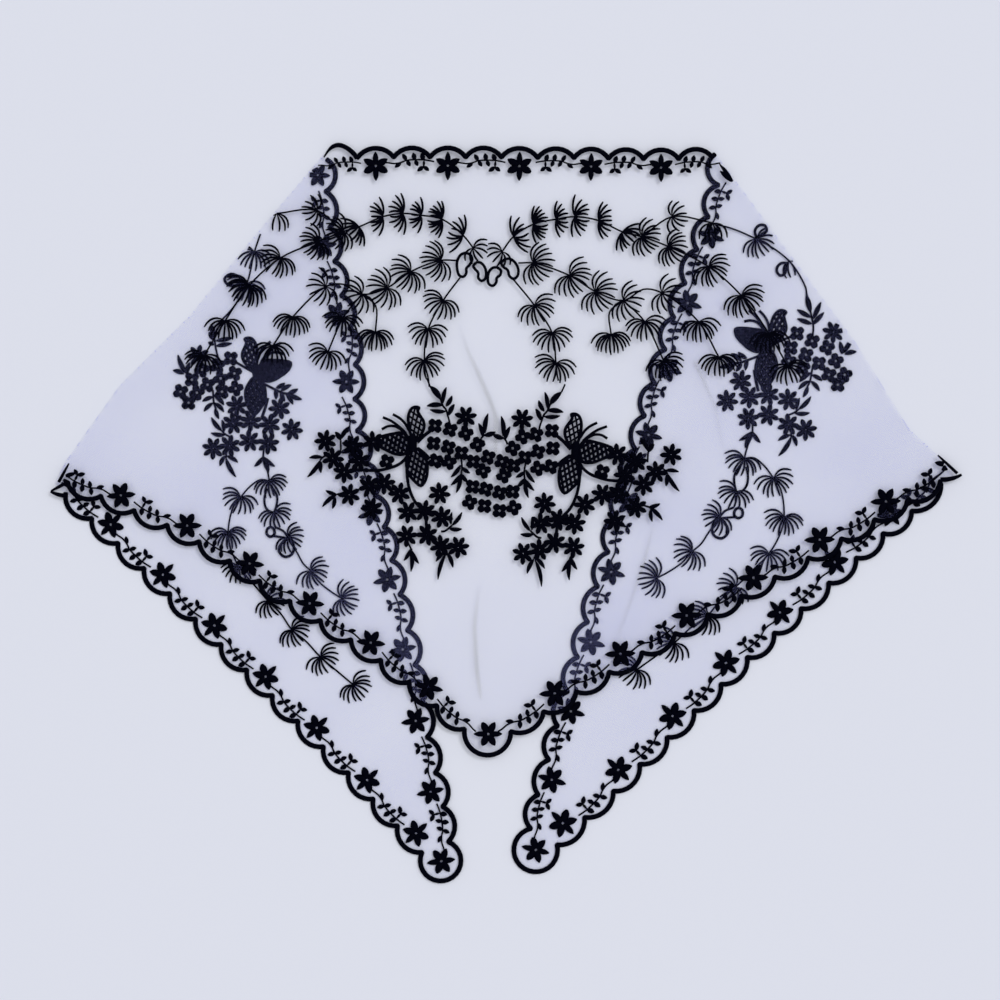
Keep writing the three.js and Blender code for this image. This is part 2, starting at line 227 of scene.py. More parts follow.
@dataclass(frozen=True)
class Lie:
    """Where a charted group lies: mirrored, scaled and turned about one point, which comes to another."""

    side: int = 1
    scale: float = 1.0
    turn: float = 0.0
    origin: tuple = (0, 0)
    at: tuple = (0, 0)

    def place(self, points: ArrayLike) -> np.ndarray:
        """Moves chart points to where the group lies.

        Args:
            points: One point or rows of points.

        Returns:
            Rows of points.
        """
        local = np.atleast_2d(np.asarray(points, float)) - self.origin
        local = local * (self.side * self.scale, self.scale)
        c, s = math.cos(math.radians(self.turn)), math.sin(math.radians(self.turn))
        return local @ np.array([[c, s], [-s, c]]) + self.at


@dataclass
class Stroke:
    """One satin stitch or strand: a centre line with half widths, in chart millimetres."""

    points: np.ndarray
    halves: np.ndarray
    closed: bool = False


def smooth(points: ArrayLike, per: int = 4) -> np.ndarray:
    """Centripetal curve through points.

    Args:
        points: Rows of points.
        per: Steps between two points.

    Returns:
        Rows of points on the curve, the given ones among them.
    """
    p = np.asarray(points, float)
    if len(p) < 3:
        return np.linspace(p[0], p[-1], per + 1)
    p = np.vstack([2 * p[0] - p[1], p, 2 * p[-1] - p[-2]])
    rows = []
    for k in range(1, len(p) - 2):
        a, b, c, d = p[k - 1 : k + 3]
        u, v, w = (max(math.sqrt(np.linalg.norm(q - r)), 1e-6) for q, r in ((b, a), (c, b), (d, c)))
        start = (b - a) / u - (c - a) / (u + v) + (c - b) / v
        end = (c - b) / v - (d - b) / (v + w) + (d - c) / w
        for t in np.arange(per) / per:
            h = (2 * t**3 - 3 * t**2 + 1, t**3 - 2 * t**2 + t, -2 * t**3 + 3 * t**2, t**3 - t**2)
            rows.append(h[0] * b + h[1] * start * v + h[2] * c + h[3] * end * v)
    return np.array([*rows, p[-2]])


def polar(angle: float, length: float = 1.0) -> np.ndarray:
    """Vector of a length at an angle in degrees."""
    return length * np.array([math.cos(math.radians(angle)), math.sin(math.radians(angle))])


def angle_of(vector: ArrayLike) -> float:
    """Angle of a vector in degrees."""
    return math.degrees(math.atan2(vector[1], vector[0]))


def stem(points: ArrayLike, half: float = STEM_HALF, per: int = 4) -> Stroke:
    """Even line of thread through points."""
    line = smooth(points, per)
    return Stroke(line, np.full(len(line), half))


def blade(
    base: ArrayLike, tip: ArrayLike, half: float, shares: tuple = LEAF, bow: float = 0.0
) -> Stroke:
    """Leaf, petal or strand from its base to its tip.

    Args:
        base: Point that it grows from.
        tip: Point that it reaches.
        half: Its full half width.
        shares: Its half widths as shares of half, from base to tip.
        bow: How far its middle stands to the left of the straight way, as a share of the length.

    Returns:
        The stroke.
    """
    base, tip = np.asarray(base, float), np.asarray(tip, float)
    way = tip - base
    t = np.linspace(0, 1, len(shares))[:, None]
    side = np.array([-way[1], way[0]]) * bow * 4
    return Stroke(base + way * t + side * t * (1 - t), half * np.array(shares))


def ring(points: ArrayLike, half: float) -> Stroke:
    """Closed line of thread through points."""
    line = smooth([*points, points[0]], 3)[:-1]
    return Stroke(line, np.full(len(line), half), True)


def moved(strokes: list[Stroke], lie: Lie) -> list[Stroke]:
    """Strokes of a motif laid where a group lies."""
    return [Stroke(lie.place(s.points), s.halves * lie.scale, s.closed) for s in strokes]


def border_flower(lean: float = 0.0) -> list[Stroke]:
    """Six-petal flower of the border.

    Args:
        lean: How far its long petals are turned from Y, in degrees.

    Returns:
        Its petals.
    """
    rows = [(90, 11.1, 2.2, LONG_PETAL), (-90, 11.6, 2.2, LONG_PETAL)]
    rows += [(a, 10.8, 2.7, LONG_PETAL) for a in (30, 150)]
    rows += [(a, 10.4, 2.9, BLUNT_PETAL) for a in (-28, 208)]
    return [
        blade(polar(a + lean, 0.9), polar(a + lean, reach), half, shares) for a, reach, half, shares in rows
    ]


def border_sprig() -> list[Stroke]:
    """Sprig of the border: it grows from a flower at the origin along +X, the edge on its +Y side.

    Returns:
        Its stem and leaves.
    """
    leaves = (
        ((20, 2.4), (15, -1.4), 1.7),
        ((24.3, 4), (21.2, 9), 1.8),
        ((24.3, 4), (27.2, -0.6), 1.7),
        ((30.8, 4.2), (29.6, 9.8), 2.0),
        ((31, 4.2), (33, -0.6), 1.7),
        ((38, 4), (35.8, 9.4), 2.0),
        ((38, 3.8), (37.6, -1.6), 1.0),
        ((37.6, -1), (32.6, -4.6), 1.8),
        ((37.6, -1), (41.8, -4.4), 1.7),
    )
    line = ((6, 2.4), (9.6, 2.4), (14.4, 1.6), (20, 2.4), (24, 4), (32, 4.4), (39.2, 4), (46, 2.6))
    return [stem(line, SPRIG_HALF, 2), *(blade(base, tip, half) for base, tip, half in leaves)]


def petals(
    centre: np.ndarray, ways: list[float], eye: float, reach: float, *look: float | tuple
) -> list[Stroke]:
    """Petals round a centre.

    Args:
        centre: Middle of the flower.
        ways: Angle of each petal, in degrees.
        eye: Radius that the petals start from.
        reach: Radius that they reach.
        look: Their half width and its shares.

    Returns:
        One stroke for each petal.
    """
    return [blade(centre + polar(way, eye), centre + polar(way, reach), *look) for way in ways]


def daisy(centre: np.ndarray, turn: float) -> list[Stroke]:
    """Daisy of seven petals."""
    return petals(centre, [turn + k * 360 / 7 for k in range(7)], 0.4, DAISY_REACH, DAISY_HALF, DAISY_PETAL)


def blossom(centre: np.ndarray, turn: float) -> list[Stroke]:
    """Small blossom of four round lobes round an eyelet."""
    return petals(centre, [turn + k * 90 for k in range(4)], 0.9, BLOSSOM_REACH, BLOSSOM_HALF, ROUND_LOBE)


def tuft(
    root: np.ndarray, heading: float, reach: float, spread: float, count: int, inner: float = 0.92
) -> list[Stroke]:
    """Fan of strands that spring apart and bend over toward its heading.

    With long inner strands it is a palm. With short ones it is a brush, straighter and in two halves.

    Args:
        root: Point that the strands spring from.
        heading: Way that the fan opens, in degrees.
        reach: Length of its outermost strands.
        spread: Angle from the heading to the tips of the outermost strands.
        count: Number of strands.
        inner: Length of its middle strands as a share of the reach.

    Returns:
        Its strokes.
    """
    strands = []
    palm = inner > PALM_INNER
    for k, share in enumerate(np.linspace(-1, 1, count)):
        length = reach * (inner + (1 - inner) * abs(share) + TUFT_RAGGED * math.sin(k * 2.4 + root[0]))
        tip = root + polar(heading + share * spread + TUFT_SWAY * math.sin(k * 1.7 + root[1]), length)
        bow = 0.05 + 0.2 * abs(share) if palm else 0.15 - 0.05 * abs(share)
        strands.append(blade(root, tip, PALM_HALF if palm else BRUSH_HALF, STRAND, bow * np.sign(share)))
    return strands


def pinch(points: np.ndarray) -> np.ndarray:
    """Height of the creases.

    Args:
        points: Rows of chart points.

    Returns:
        One height for each, in millimetres.
    """
    rise = np.zeros(len(points))
    for route in CREASES:
        for (*a, low), (*b, high) in pairwise(route):
            way = np.subtract(b, a)
            share = np.clip(((points - a) @ way) / (way @ way), 0, 1)
            gap = np.linalg.norm(points - a - share[:, None] * way, axis=1)
            rise = np.maximum(rise, (low + (high - low) * share) * np.exp(-((gap / CREASE_HALF) ** 2)))
    return rise


def swell(points: np.ndarray) -> np.ndarray:
    """Height of the net's soft waves over its flat lie.

    Args:
        points: Rows of chart points.

    Returns:
        One height for each, from 0 to 1 millimetre.
    """
    x, y = points[:, 0], points[:, 1]
    broad = np.sin(x / 61 + 0.8) * np.sin(y / 47 - 0.5) + np.sin(x / 37 - y / 83)
    return (broad + 2) / 4


def density_and_painted_shade(points: np.ndarray, layer: Layer) -> np.ndarray:
    """Density of the net's threads: raised as painted shade in soft ripples, along the creases and in the
    ends, and raised toward the panel's tip.

    Args:
        points: Rows of chart points.
        layer: The sheet that they lie on.

    Returns:
        One share for each.
    """
    x, y = points[:, 0], points[:, 1]
    # Soft ripples of painted shade in the thread density, stronger in the ends
    painted_ripple_shade = np.sin(x / 29 + 1.3 * np.sin(y / 41)) * np.sin(y / 23 - x / 67 + 0.6)
    if layer is Layer.PANEL:
        # Darker toward the panel's tip
        low = np.clip(-(y + 20) / 100, 0, 1)
        # Along the creases the thread is thickened as painted shade
        return 1 + 0.3 * painted_ripple_shade + CREASE_PAINTED_SHADE * pinch(points) + LOW_DARKENING * low
    # The folded-under ends get more thread as painted shade of the double layer
    return ENDS_PAINTED_SHADE + 0.7 * painted_ripple_shade


def heights(points: np.ndarray, layer: Layer) -> np.ndarray:
    """Height of a net sheet.

    Args:
        points: Rows of chart points.
        layer: The sheet that they lie on.

    Returns:
        One height for each, in millimetres.
    """
    if layer is Layer.PANEL:
        return layer.value + swell(points) + pinch(points)
    return layer.value + swell(points) * ENDS_SWELL


def between_folds(points: np.ndarray) -> np.ndarray:
    """Finds the chart points that lie between both folds.

    Args:
        points: Rows of chart points.

    Returns:
        True or false for each.
    """
    left, right = (np.array(sorted(fold, key=lambda p: p[1]), float) for fold in (LEFT_FOLD, RIGHT_FOLD))
    low = np.interp(points[:, 1], left[:, 1], left[:, 0])
    high = np.interp(points[:, 1], right[:, 1], right[:, 0])
    return (points[:, 0] > low) & (points[:, 0] < high)


def metres(points: np.ndarray, z: np.ndarray) -> np.ndarray:
    """Chart points and heights in millimetres as points of the frame."""
    flat = np.asarray(points, float) + CHART_SHIFT
    return np.column_stack([flat, z]) * MM


def add(
    tree: bpy.types.NodeTree, kind: str, inputs: dict | None = None, **settings: object
) -> bpy.types.Node:
    """Adds a node to a tree.

    Args:
        tree: The node tree.
        kind: The node's type.
        inputs: Values for its sockets, or sockets of other nodes to link to them.
        settings: Its other properties.

    Returns:
        The node.
    """
    node = tree.nodes.new(kind)
    for key, value in settings.items():
        setattr(node, key, value)
    for key, value in (inputs or {}).items():
        if isinstance(value, bpy.types.NodeSocket):
            tree.links.new(value, node.inputs[key])
        else:
            node.inputs[key].default_value = value
    return node


def sweep_tree() -> bpy.types.NodeTree:
    """Builds the tree that sweeps a domed stitch section along every curve, scaled by its radius.

    Returns:
        The geometry node tree.
    """
    tree = bpy.data.node_groups.new("stitch_sweep", "GeometryNodeTree")
    sockets = (("Curves", "Geometry"), ("Dome", "Float"), ("Sides", "Int"), ("Finish", "Material"))
    for name, kind in sockets:
        tree.interface.new_socket(name=name, in_out="INPUT", socket_type="NodeSocket" + kind)
    tree.interface.new_socket(name="Stitches", in_out="OUTPUT", socket_type="NodeSocketGeometry")
    given = add(tree, "NodeGroupInput").outputs
    run = add(tree, "GeometryNodeSplineParameter").outputs["Length"]
    marked = add(
        tree,
        "GeometryNodeStoreNamedAttribute",
        {"Geometry": given["Curves"], "Name": "along", "Value": run},
        domain="POINT",
    )
    level = add(tree, "GeometryNodeSetCurveNormal", {"Curve": marked.outputs[0]}, mode="Z_UP")
    ring = add(tree, "GeometryNodeCurvePrimitiveCircle", {"Resolution": given["Sides"], "Radius": 1.0})
    squash = add(tree, "ShaderNodeCombineXYZ", {"X": 1.0, "Y": given["Dome"], "Z": 1.0})
    section = add(
        tree,
        "GeometryNodeTransform",
        {"Geometry": ring.outputs["Curve"], "Scale": squash.outputs[0]},
    )
    radius = add(tree, "GeometryNodeInputRadius").outputs[0]
    swept = add(
        tree,
        "GeometryNodeCurveToMesh",
        {
            "Curve": level.outputs[0],
            "Profile Curve": section.outputs[0],
            "Scale": radius,
            "Fill Caps": True,
        },
    )
    soft = add(tree, "GeometryNodeSetShadeSmooth", {"Geometry": swept.outputs[0]})
    real = add(tree, "GeometryNodeRealizeInstances", {"Geometry": soft.outputs[0]})
    done = add(
        tree, "GeometryNodeSetMaterial", {"Geometry": real.outputs[0], "Material": given["Finish"]}
    )
    add(tree, "NodeGroupOutput", {"Stitches": done.outputs[0]})
    return tree


@dataclass
class Embroidery:
    """One embroidered piece: it gathers its strokes and sweeps them into one mesh."""

    name: str
    layer: Layer
    finish: bpy.types.Material
    sweep: bpy.types.NodeTree
    dome: float = 0.42
    sides: int = 6
    ends_at_folds: bool = True

    def strokes(self) -> list[Stroke]:
        """Strokes of the piece. Each kind of embroidery gives its own."""
        raise NotImplementedError

    def build(self) -> bpy.types.Object:
        """Builds the piece in place of its solid.

        Returns:
            The mesh object.
        """
        curve = bpy.data.curves.new(self.name + "_curves", "CURVE")
        curve.dimensions = "3D"
        for stroke in self.strokes():
            if self.ends_at_folds and not stroke.closed:
                shown = between_folds(stroke.points)
                first = int(np.argmax(shown))
                last = first + int(np.argmin([*shown[first:], False]))
                stroke = Stroke(stroke.points[first:last], stroke.halves[first:last])
            if len(stroke.points) < 2:
                continue
            spline = curve.splines.new("POLY")
            spline.points.add(len(stroke.points) - 1)
            places = metres(stroke.points, heights(stroke.points, self.layer))
            spline.points.foreach_set("co", np.column_stack([places, np.ones(len(places))]).ravel())
            spline.points.foreach_set("radius", np.asarray(stroke.halves, float) * MM)
            spline.use_cyclic_u = stroke.closed
        guide = bpy.data.objects.new(self.name + "_guide", curve)
        bpy.context.scene.collection.objects.link(guide)
        modifier = guide.modifiers.new("sweep", "NODES")
        modifier.node_group = self.sweep
        values = {"Dome": self.dome, "Sides": self.sides, "Finish": self.finish}
        for socket in self.sweep.interface.items_tree:
            if socket.name in values:
                modifier[socket.identifier] = values[socket.name]
        graph = bpy.context.evaluated_depsgraph_get()
        mesh = bpy.data.meshes.new_from_object(
            guide.evaluated_get(graph), preserve_all_data_layers=True, depsgraph=graph
        )
        bpy.data.objects.remove(guide)
        bpy.data.curves.remove(curve)
        mesh.name = self.name + "_stitches"
        piece = bpy.data.objects.new(self.name + "_stitches", mesh)
        bpy.context.scene.collection.objects.link(piece)
        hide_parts(self.name)
        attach(piece, "root")
        return piece


def arc(start: ArrayLike, end: ArrayLike, rise: float, steps: int) -> np.ndarray:
    """Arc between two points.

    Args:
        start: Its first point.
        end: Its last point.
        rise: How far it bulges to the right of the way.
        steps: Its number of steps.

    Returns:
        Rows of points, both ends among them.
    """
    start, end = np.asarray(start, float), np.asarray(end, float)
    half = np.linalg.norm(end - start) / 2
    radius = (half * half + rise * rise) / (2 * rise)
    way = (end - start) / (2 * half)
    out = np.array([way[1], -way[0]])
    centre = (start + end) / 2 + out * (rise - radius)
    quarter = math.asin(half / radius)
    reach = math.pi - quarter if rise > half else quarter
    angles = np.linspace(-reach, reach, steps + 1)[:, None]
    return centre + radius * (way * np.sin(angles) + out * np.cos(angles))


def scalloped(edge: Edge, rise: float, steps: int) -> np.ndarray:
    """Scalloped line of one edge.

    Args:
        edge: The edge.
        rise: Rise of its scallops.
        steps: Steps in each of them.

    Returns:
        Rows of points.
    """
    cusps = edge.cusps()
    arcs = [arc(a, b, rise, steps)[:-1] for a, b in pairwise(cusps)]
    return np.vstack([*arcs, cusps[-1:]])


@dataclass
class SatinEdge(Embroidery):
    """Satin band along one or two scalloped edges, with a larger scallop round the tip between them.

    last gives the line of the last scallop where it isn't an arc: points with half widths. spikes gives
    ends that taper: base, tip, half width and bow.
    """

    ends_at_folds: bool = False
    edges: tuple = ()
    tip_rise: float = 0.0
    spikes: tuple = ()
    last: tuple = ()

    def strokes(self) -> list[Stroke]:
        """One stroke for each scallop, so that the cusps between them are sharp.

        Returns:
            The tapered ends and the scallops.
        """
        spans = [(a, b, SATIN_RISE, BAND_STEPS) for edge in self.edges for a, b in pairwise(edge.cusps())]
        if self.tip_rise:
            first, second = self.edges
            spans.append((first.cusps()[-1], second.cusps()[0], self.tip_rise, TIP_STEPS))
        found = [blade(base, tip, half, SPIKE, bow) for base, tip, half, bow in self.spikes]
        if self.last:
            spans.pop()
            line = smooth(self.last, 3)
            found.append(Stroke(line[:, :2], line[:, 2]))
        for start, end, rise, steps in spans:
            line = arc(start, end, rise, steps)
            before, after = (a * (1 + BAND_OVERLAP) - b * BAND_OVERLAP for a, b in (line[:2], line[:-3:-1]))
            halves = np.full(len(line) + 2, BAND_HALF)
            halves[[0, -1]] *= BAND_END
            found.append(Stroke(np.vstack([before, line, after]), halves))
        return found


@dataclass
class Garland(Embroidery):
    """Border of one edge: a flower under every second scallop, each with a sprig.

    folded gives the petals of one more flower, cut by a fold: half width, base, tip.
    """

    edge: Edge | None = None
    folded: tuple = ()

    def strokes(self) -> list[Stroke]:
        """Flowers and sprigs, laid along the line inside the scallops.

        Returns:
            Their strokes.
        """
        cusps = self.edge.cusps()
        found = [blade(base, tip, half, LONG_PETAL) for half, base, tip in self.folded]
        for index in range(self.edge.first % 2, self.edge.scallops + 2, 2):
            start, end = self.span(cusps, index)
            along = end - start
            length = np.linalg.norm(along)
            inward = np.array([-along[1], along[0]]) / length
            centre = (start + end) / 2 + inward * self.edge.inset
            way = self.edge.way.value * (1 if index <= self.edge.turning else -1)
            lie = Lie(-1, length / CHART_SCALLOP, angle_of(along) + 180, (0, 0), tuple(centre))
            if self.edge.first <= index <= self.edge.scallops:
                found += moved(border_flower(self.edge.lean), lie)
            if index != self.edge.turning and self.clear(index, way):
                found += moved([mirrored(s) for s in border_sprig()] if way < 0 else border_sprig(), lie)
        return found

    def span(self, cusps: np.ndarray, index: int) -> tuple[np.ndarray, np.ndarray]:
        """Both ends of a scallop, one beyond either end of the edge included.

        Args:
            cusps: The edge's cusps.
            index: The scallop's number, 1 for the edge's first.

        Returns:
            The two cusps.
        """
        step = cusps[1] - cusps[0], cusps[-1] - cusps[-2]
        line = np.vstack([cusps[0] - step[0], cusps, cusps[-1] + step[1]])
        return line[index], line[index + 1]

    def clear(self, index: int, way: int) -> bool:
        """Whether the sprig of a scallop's flower stays on the edge."""
        return 1 <= index + way <= self.edge.scallops


def mirrored(stroke: Stroke) -> Stroke:
    """Stroke seen in a mirror across Y."""
    return Stroke(stroke.points * (-1, 1), stroke.halves, stroke.closed)


@dataclass
class TipFlower(Embroidery):
    """Single border flower in a tip."""

    centre: tuple = (0, 0)
    lean: float = 0.0

    def strokes(self) -> list[Stroke]:
        """The flower, its long petals turned by lean from upright."""
        return moved(border_flower(self.lean), Lie(at=self.centre))


@dataclass
class Vines(Embroidery):
    """Vines with tufts, and the loops that they spring from.

    A vine is a row of points. One that a tuft springs from also gives the tuft's heading, reach, spread
    and count. roots gives the points of the vines anew, and then loops and links lie as given too.
    own vines and rings always do.
    """

    vines: tuple = ()
    roots: tuple = ()
    own: tuple = ()
    rings: tuple = ()
    loops: tuple = ()
    links: tuple = ()
    lie: Lie = field(default_factory=Lie)

    def strokes(self) -> list[Stroke]:
        """Links, stems, tufts, rings and loops.

        Returns:
            Their strokes.
        """
        found = [stem(self.laid(line), LINK_HALF) for line in self.links]
        charted = self.roots or [self.lie.place([p[:2] for p in vine]) for vine in self.vines]
        for vine, row in zip(self.vines, charted):
            found += self.grown(vine, np.asarray(row, float), self.lie)
        for vine in self.own:
            found += self.grown(vine, np.array([p[:2] for p in vine], float), Lie())
        for row in self.rings:
            found.append(ring(row, LOOP_HALF))
        for row in self.loops:
            line = ring(row, LOOP_HALF)
            found.append(Stroke(self.laid(line.points), line.halves, True))
        return found

    def laid(self, points: ArrayLike) -> np.ndarray:
        """Chart points where this side has them."""
        return np.asarray(points, float) if self.roots else self.lie.place(points)

    def grown(self, vine: tuple, line: np.ndarray, lie: Lie) -> list[Stroke]:
        """Stem and tufts of one vine.

        Args:
            vine: Its row of points.
            line: Where these points lie.
            lie: How its tufts are turned and scaled.

        Returns:
            Its strokes.
        """
        found = [stem(line, STEM_HALF, 5)]
        for point, root in zip(vine, line):
            if len(point) > 2:
                heading, reach, *rest = point[2:]
                middle, ahead = lie.place([(0, 0), polar(heading)])
                found += tuft(root, angle_of(ahead - middle), reach * lie.scale, *rest)
        return found


@dataclass
class Bouquet(Embroidery):
    """Daisies, small blossoms, leaves and stems round a butterfly.

    Leaves and stems are charted from the butterfly's body. The flowers, own leaves and own stems lie
    as given.
    """

    daisies: tuple = ()
    blossoms: tuple = ()
    leaves: tuple = ()
    stems: tuple = ()
    own_leaves: tuple = ()
    own_stems: tuple = ()
    lie: Lie = field(default_factory=Lie)

    def strokes(self) -> list[Stroke]:
        """All its flowers, leaves and stems.

        Returns:
            Their strokes.
        """
        found = [stem(self.lie.place(line), half) for half, *line in self.stems]
        found += [stem(line, half) for half, *line in self.own_stems]
        found += [blade(base, tip, half) for half, base, tip in self.own_leaves]
        for k, centre in enumerate(self.daisies):
            found += daisy(np.array(centre), 11 + 17 * k)
        for k, centre in enumerate(self.blossoms):
            found += blossom(np.array(centre), 40 - 13 * (k % 3))
        for k, (half, *ends) in enumerate(self.leaves):
            bow = LEAF_BOW * self.lie.side * (1 if k % 2 else -1)
            found.append(blade(*self.lie.place(ends), half, LEAF, bow))
        return found


@dataclass
class Butterfly(Embroidery):
    """Butterfly of three wings filled with lattice, with three feelers. weight thickens the lattice."""

    lie: Lie = field(default_factory=Lie)
    weight: float = 1.0

    def strokes(self) -> list[Stroke]:
        """Body, wings and feelers.

        Returns:
            Their strokes.
        """
        found = [blade(*self.lie.place([(0.5, -7), (0.5, 8)]), BODY_HALF, ROUND_LOBE)]
        for half, *outline in WINGS:
            found += self.wing(np.array(outline, float), half * self.weight)
        return found + [stem(self.lie.place(line), FEELER_HALF) for line in FEELERS]

    def wing(self, outline: np.ndarray, half: float) -> list[Stroke]:
        """One wing: a border round a lattice that is cut off where it meets it.

        Args:
            outline: Its outline, from the body round the tip.
            half: Half width of the lattice's lines.

        Returns:
            Its strokes.
        """
        border = ring(outline, WING_BORDER_HALF)
        outline = border.points
        found = [Stroke(self.lie.place(outline), border.halves, True)]
        axis = outline.mean(0) - outline[0]
        length = np.linalg.norm(axis) * 2
        axis = axis * 2 / length
        run = np.linspace(-length, length, 121)[:, None]
        for turn, pitch in WING_LATTICE:
            for offset in np.arange(-12, 13) * pitch:
                line = outline[0] + axis * length / 2 + polar(turn + 90) * offset + polar(turn) * run
                kept = line[[inside(p, outline) for p in line]]
                if len(kept) > 4:
                    found.append(stem(self.lie.place(kept[[0, -1]]), half, 3))
        return found


def inside(point: np.ndarray, outline: np.ndarray) -> bool:
    """Whether a point lies inside a closed outline.

    Args:
        point: The point.
        outline: Rows of points.

    Returns:
        True where it does.
    """
    a, b = outline, np.roll(outline, -1, axis=0)
    crossed = (a[:, 1] > point[1]) != (b[:, 1] > point[1])
    rise = np.where(b[:, 1] == a[:, 1], 1e-9, b[:, 1] - a[:, 1])
    x = a[:, 0] + (point[1] - a[:, 1]) * (b[:, 0] - a[:, 0]) / rise
    return bool(np.sum(crossed & (x > point[0])) % 2)


@dataclass
class NetGround:
    """The net: the panel, both folded ends under it, and the turns between them, as one thin sheet."""

    finish: bpy.types.Material
    pitch: float = 6.0
    bend_steps: int = 4

    def build(self) -> bpy.types.Object:
        """Builds the net in place of its solid.

        Returns:
            The mesh object.
        """
        folds = {"left": self.fold_line(LEFT_FOLD), "right": self.fold_line(RIGHT_FOLD)}
        cut = {name: scalloped(edge, SATIN_RISE, NET_STEPS) for name, edge in EDGES.items()}
        panel = [cut["top"], folds["left"], cut["left_leg"], self.tip("panel")]
        panel += [cut["right_leg"], folds["right"]]
        left = [folds["left"], cut["left_end_leg"], self.tip("left"), cut["left_end_long"]]
        right = [folds["right"], cut["right_end_long"], self.tip("right"), cut["right_end_leg"]]
        sheets = ((panel, Layer.PANEL, None), (left, Layer.ENDS, "left"), (right, Layer.ENDS, "right"))
        places, flats, shares, painted_crease_shade, faces = [], [], [], [], []
        for outline, layer, fold in sheets:
            points, triangles = self.filled(np.vstack(outline), fold is None)
            faces += [[k + len(places) for k in triangle] for triangle in triangles]
            places += list(metres(points, heights(points, layer)))
            flats += list(self.unfolded(points, fold))
            # Thread density per point, raised as painted shade in the ends, turns, creases and ripples
            shares += list(density_and_painted_shade(points, layer))
            # Share of grey painted shade along the creases, on the panel only
            painted_crease_shade += list(np.clip(pinch(points), 0, 1) * (fold is None))
        for line in folds.values():
            self.turn(line, places, flats, faces)
        painted_crease_shade += [0.0] * (len(places) - len(shares))
        # The turns at the folds get the painted shade of the ends
        shares += [TURN_PAINTED_SHADE] * (len(places) - len(shares))
        mesh = bpy.data.meshes.new("net")
        mesh.from_pydata([Vector(p) for p in places], [], faces)
        mesh.polygons.foreach_set("use_smooth", [True] * len(mesh.polygons))
        flat = mesh.uv_layers.new(name="flat")
        corners = np.zeros(len(mesh.loops), np.int32)
        mesh.loops.foreach_get("vertex_index", corners)
        flat.data.foreach_set("uv", np.array(flats)[corners].ravel() * MM)
        mesh.attributes.new("density_and_painted_shade", "FLOAT", "POINT").data.foreach_set("value", shares)
        mesh.attributes.new("painted_crease_shade", "FLOAT", "POINT").data.foreach_set("value", painted_crease_shade)
        mesh.materials.append(self.finish)
        net = bpy.data.objects.new("net", mesh)
        bpy.context.scene.collection.objects.link(net)
        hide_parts("net_ground")
        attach(net, "root")
        return net

    def fold_line(self, fold: list) -> np.ndarray:
        """Points along a fold, about as far apart as the grid's.

        Args:
            fold: Its corners.

        Returns:
            Rows of points.
        """
        spans = []
        for a, b in pairwise(np.asarray(fold, float)):
            count = max(1, round(np.linalg.norm(b - a) / self.pitch))
            spans.append(np.linspace(a, b, count + 1)[:-1])
        return np.vstack([*spans, np.asarray(fold[-1:], float)])

    def tip(self, name: str) -> np.ndarray:
        """Arc round a tip between its two edges, without its ends."""
        before, after, rise = TIPS[name]
        return arc(EDGES[before].cusps()[-1], EDGES[after].cusps()[0], rise, NET_TIP_STEPS)[1:-1]

    def crease_rows(self) -> np.ndarray:
        """Points on both sides of the creases, close enough together to show their shape.

        Returns:
            Rows of points.
        """
        rows = []
        for route in CREASES:
            line = smooth([p[:2] for p in route], 10)
            ahead = np.gradient(line, axis=0)
            out = np.column_stack([ahead[:, 1], -ahead[:, 0]]) / np.linalg.norm(ahead, axis=1)[:, None]
            rows += [line + out * gap * CREASE_HALF for gap in (-2.4, -1.6, -1, -0.5, 0, 0.5, 1, 1.6, 2.4)]
        return np.vstack(rows)

    def filled(self, outline: np.ndarray, creased: bool) -> tuple[np.ndarray, list]:
        """Triangles that fill an outline, with a grid of points inside it.

        Args:
            outline: Rows of points, counter-clockwise.
            creased: Whether the creases run through it.

        Returns:
            The points and the triangles.
        """
        low, high = outline.min(0), outline.max(0)
        xs = np.arange(low[0], high[0], self.pitch)
        ys = np.arange(low[1], high[1], self.pitch)
        grid = np.array([(x, y) for x in xs for y in ys])
        rows = self.crease_rows() if creased else np.zeros((0, 2))
        taken = np.vstack([outline, rows])
        kept = [
            p
            for p in grid
            if inside(p, outline) and np.min(np.sum((taken - p) ** 2, axis=1)) > (self.pitch * 0.5) ** 2
        ]
        points = [Vector(p) for p in [*outline, *rows, *kept]]
        found = geometry.delaunay_2d_cdt(points, [], [list(range(len(outline)))], 1, 1e-5)
        return np.array([list(p) for p in found[0]]), [list(f) for f in found[2]]

    def unfolded(self, points: np.ndarray, fold: str | None) -> np.ndarray:
        """Where points of a folded end lie once it is folded out again.

        Args:
            points: Rows of chart points.
            fold: The end's side, or None on the panel, which stays as it is.

        Returns:
            Rows of points.
        """
        if fold is None:
            return points
        line = np.asarray(LEFT_FOLD if fold == "left" else RIGHT_FOLD, float)
        start, way = line[0], (line[-1] - line[0]) / np.linalg.norm(line[-1] - line[0])
        along = (points - start) @ way
        foot = start + along[:, None] * way
        return 2 * foot - points

    def turn(self, line: np.ndarray, places: list, flats: list, faces: list) -> None:
        """Adds the turn along a fold, bent half round from the lower sheet to the upper.

        Args:
            line: Points along the fold.
            places: Points of the net, which it adds to.
            flats: Where they lie on the unfolded net, likewise.
            faces: Faces of the net, likewise.
        """
        low, high = heights(line, Layer.ENDS), heights(line, Layer.PANEL)
        ahead = np.gradient(line, axis=0)
        out = np.column_stack([ahead[:, 1], -ahead[:, 0]])
        out /= np.linalg.norm(out, axis=1)[:, None]
        radius = (high - low) / 2
        base = len(places)
        for k in range(self.bend_steps + 1):
            angle = math.pi * (k / self.bend_steps - 0.5)
            side = line + out * (radius * math.cos(angle))[:, None]
            places += list(metres(side, (low + high) / 2 + radius * math.sin(angle)))
            flats += list(line)
        for k in range(self.bend_steps):
            for i in range(len(line) - 1):
                a = base + k * len(line) + i
                faces.append([a, a + 1, a + 1 + len(line), a + len(line)])


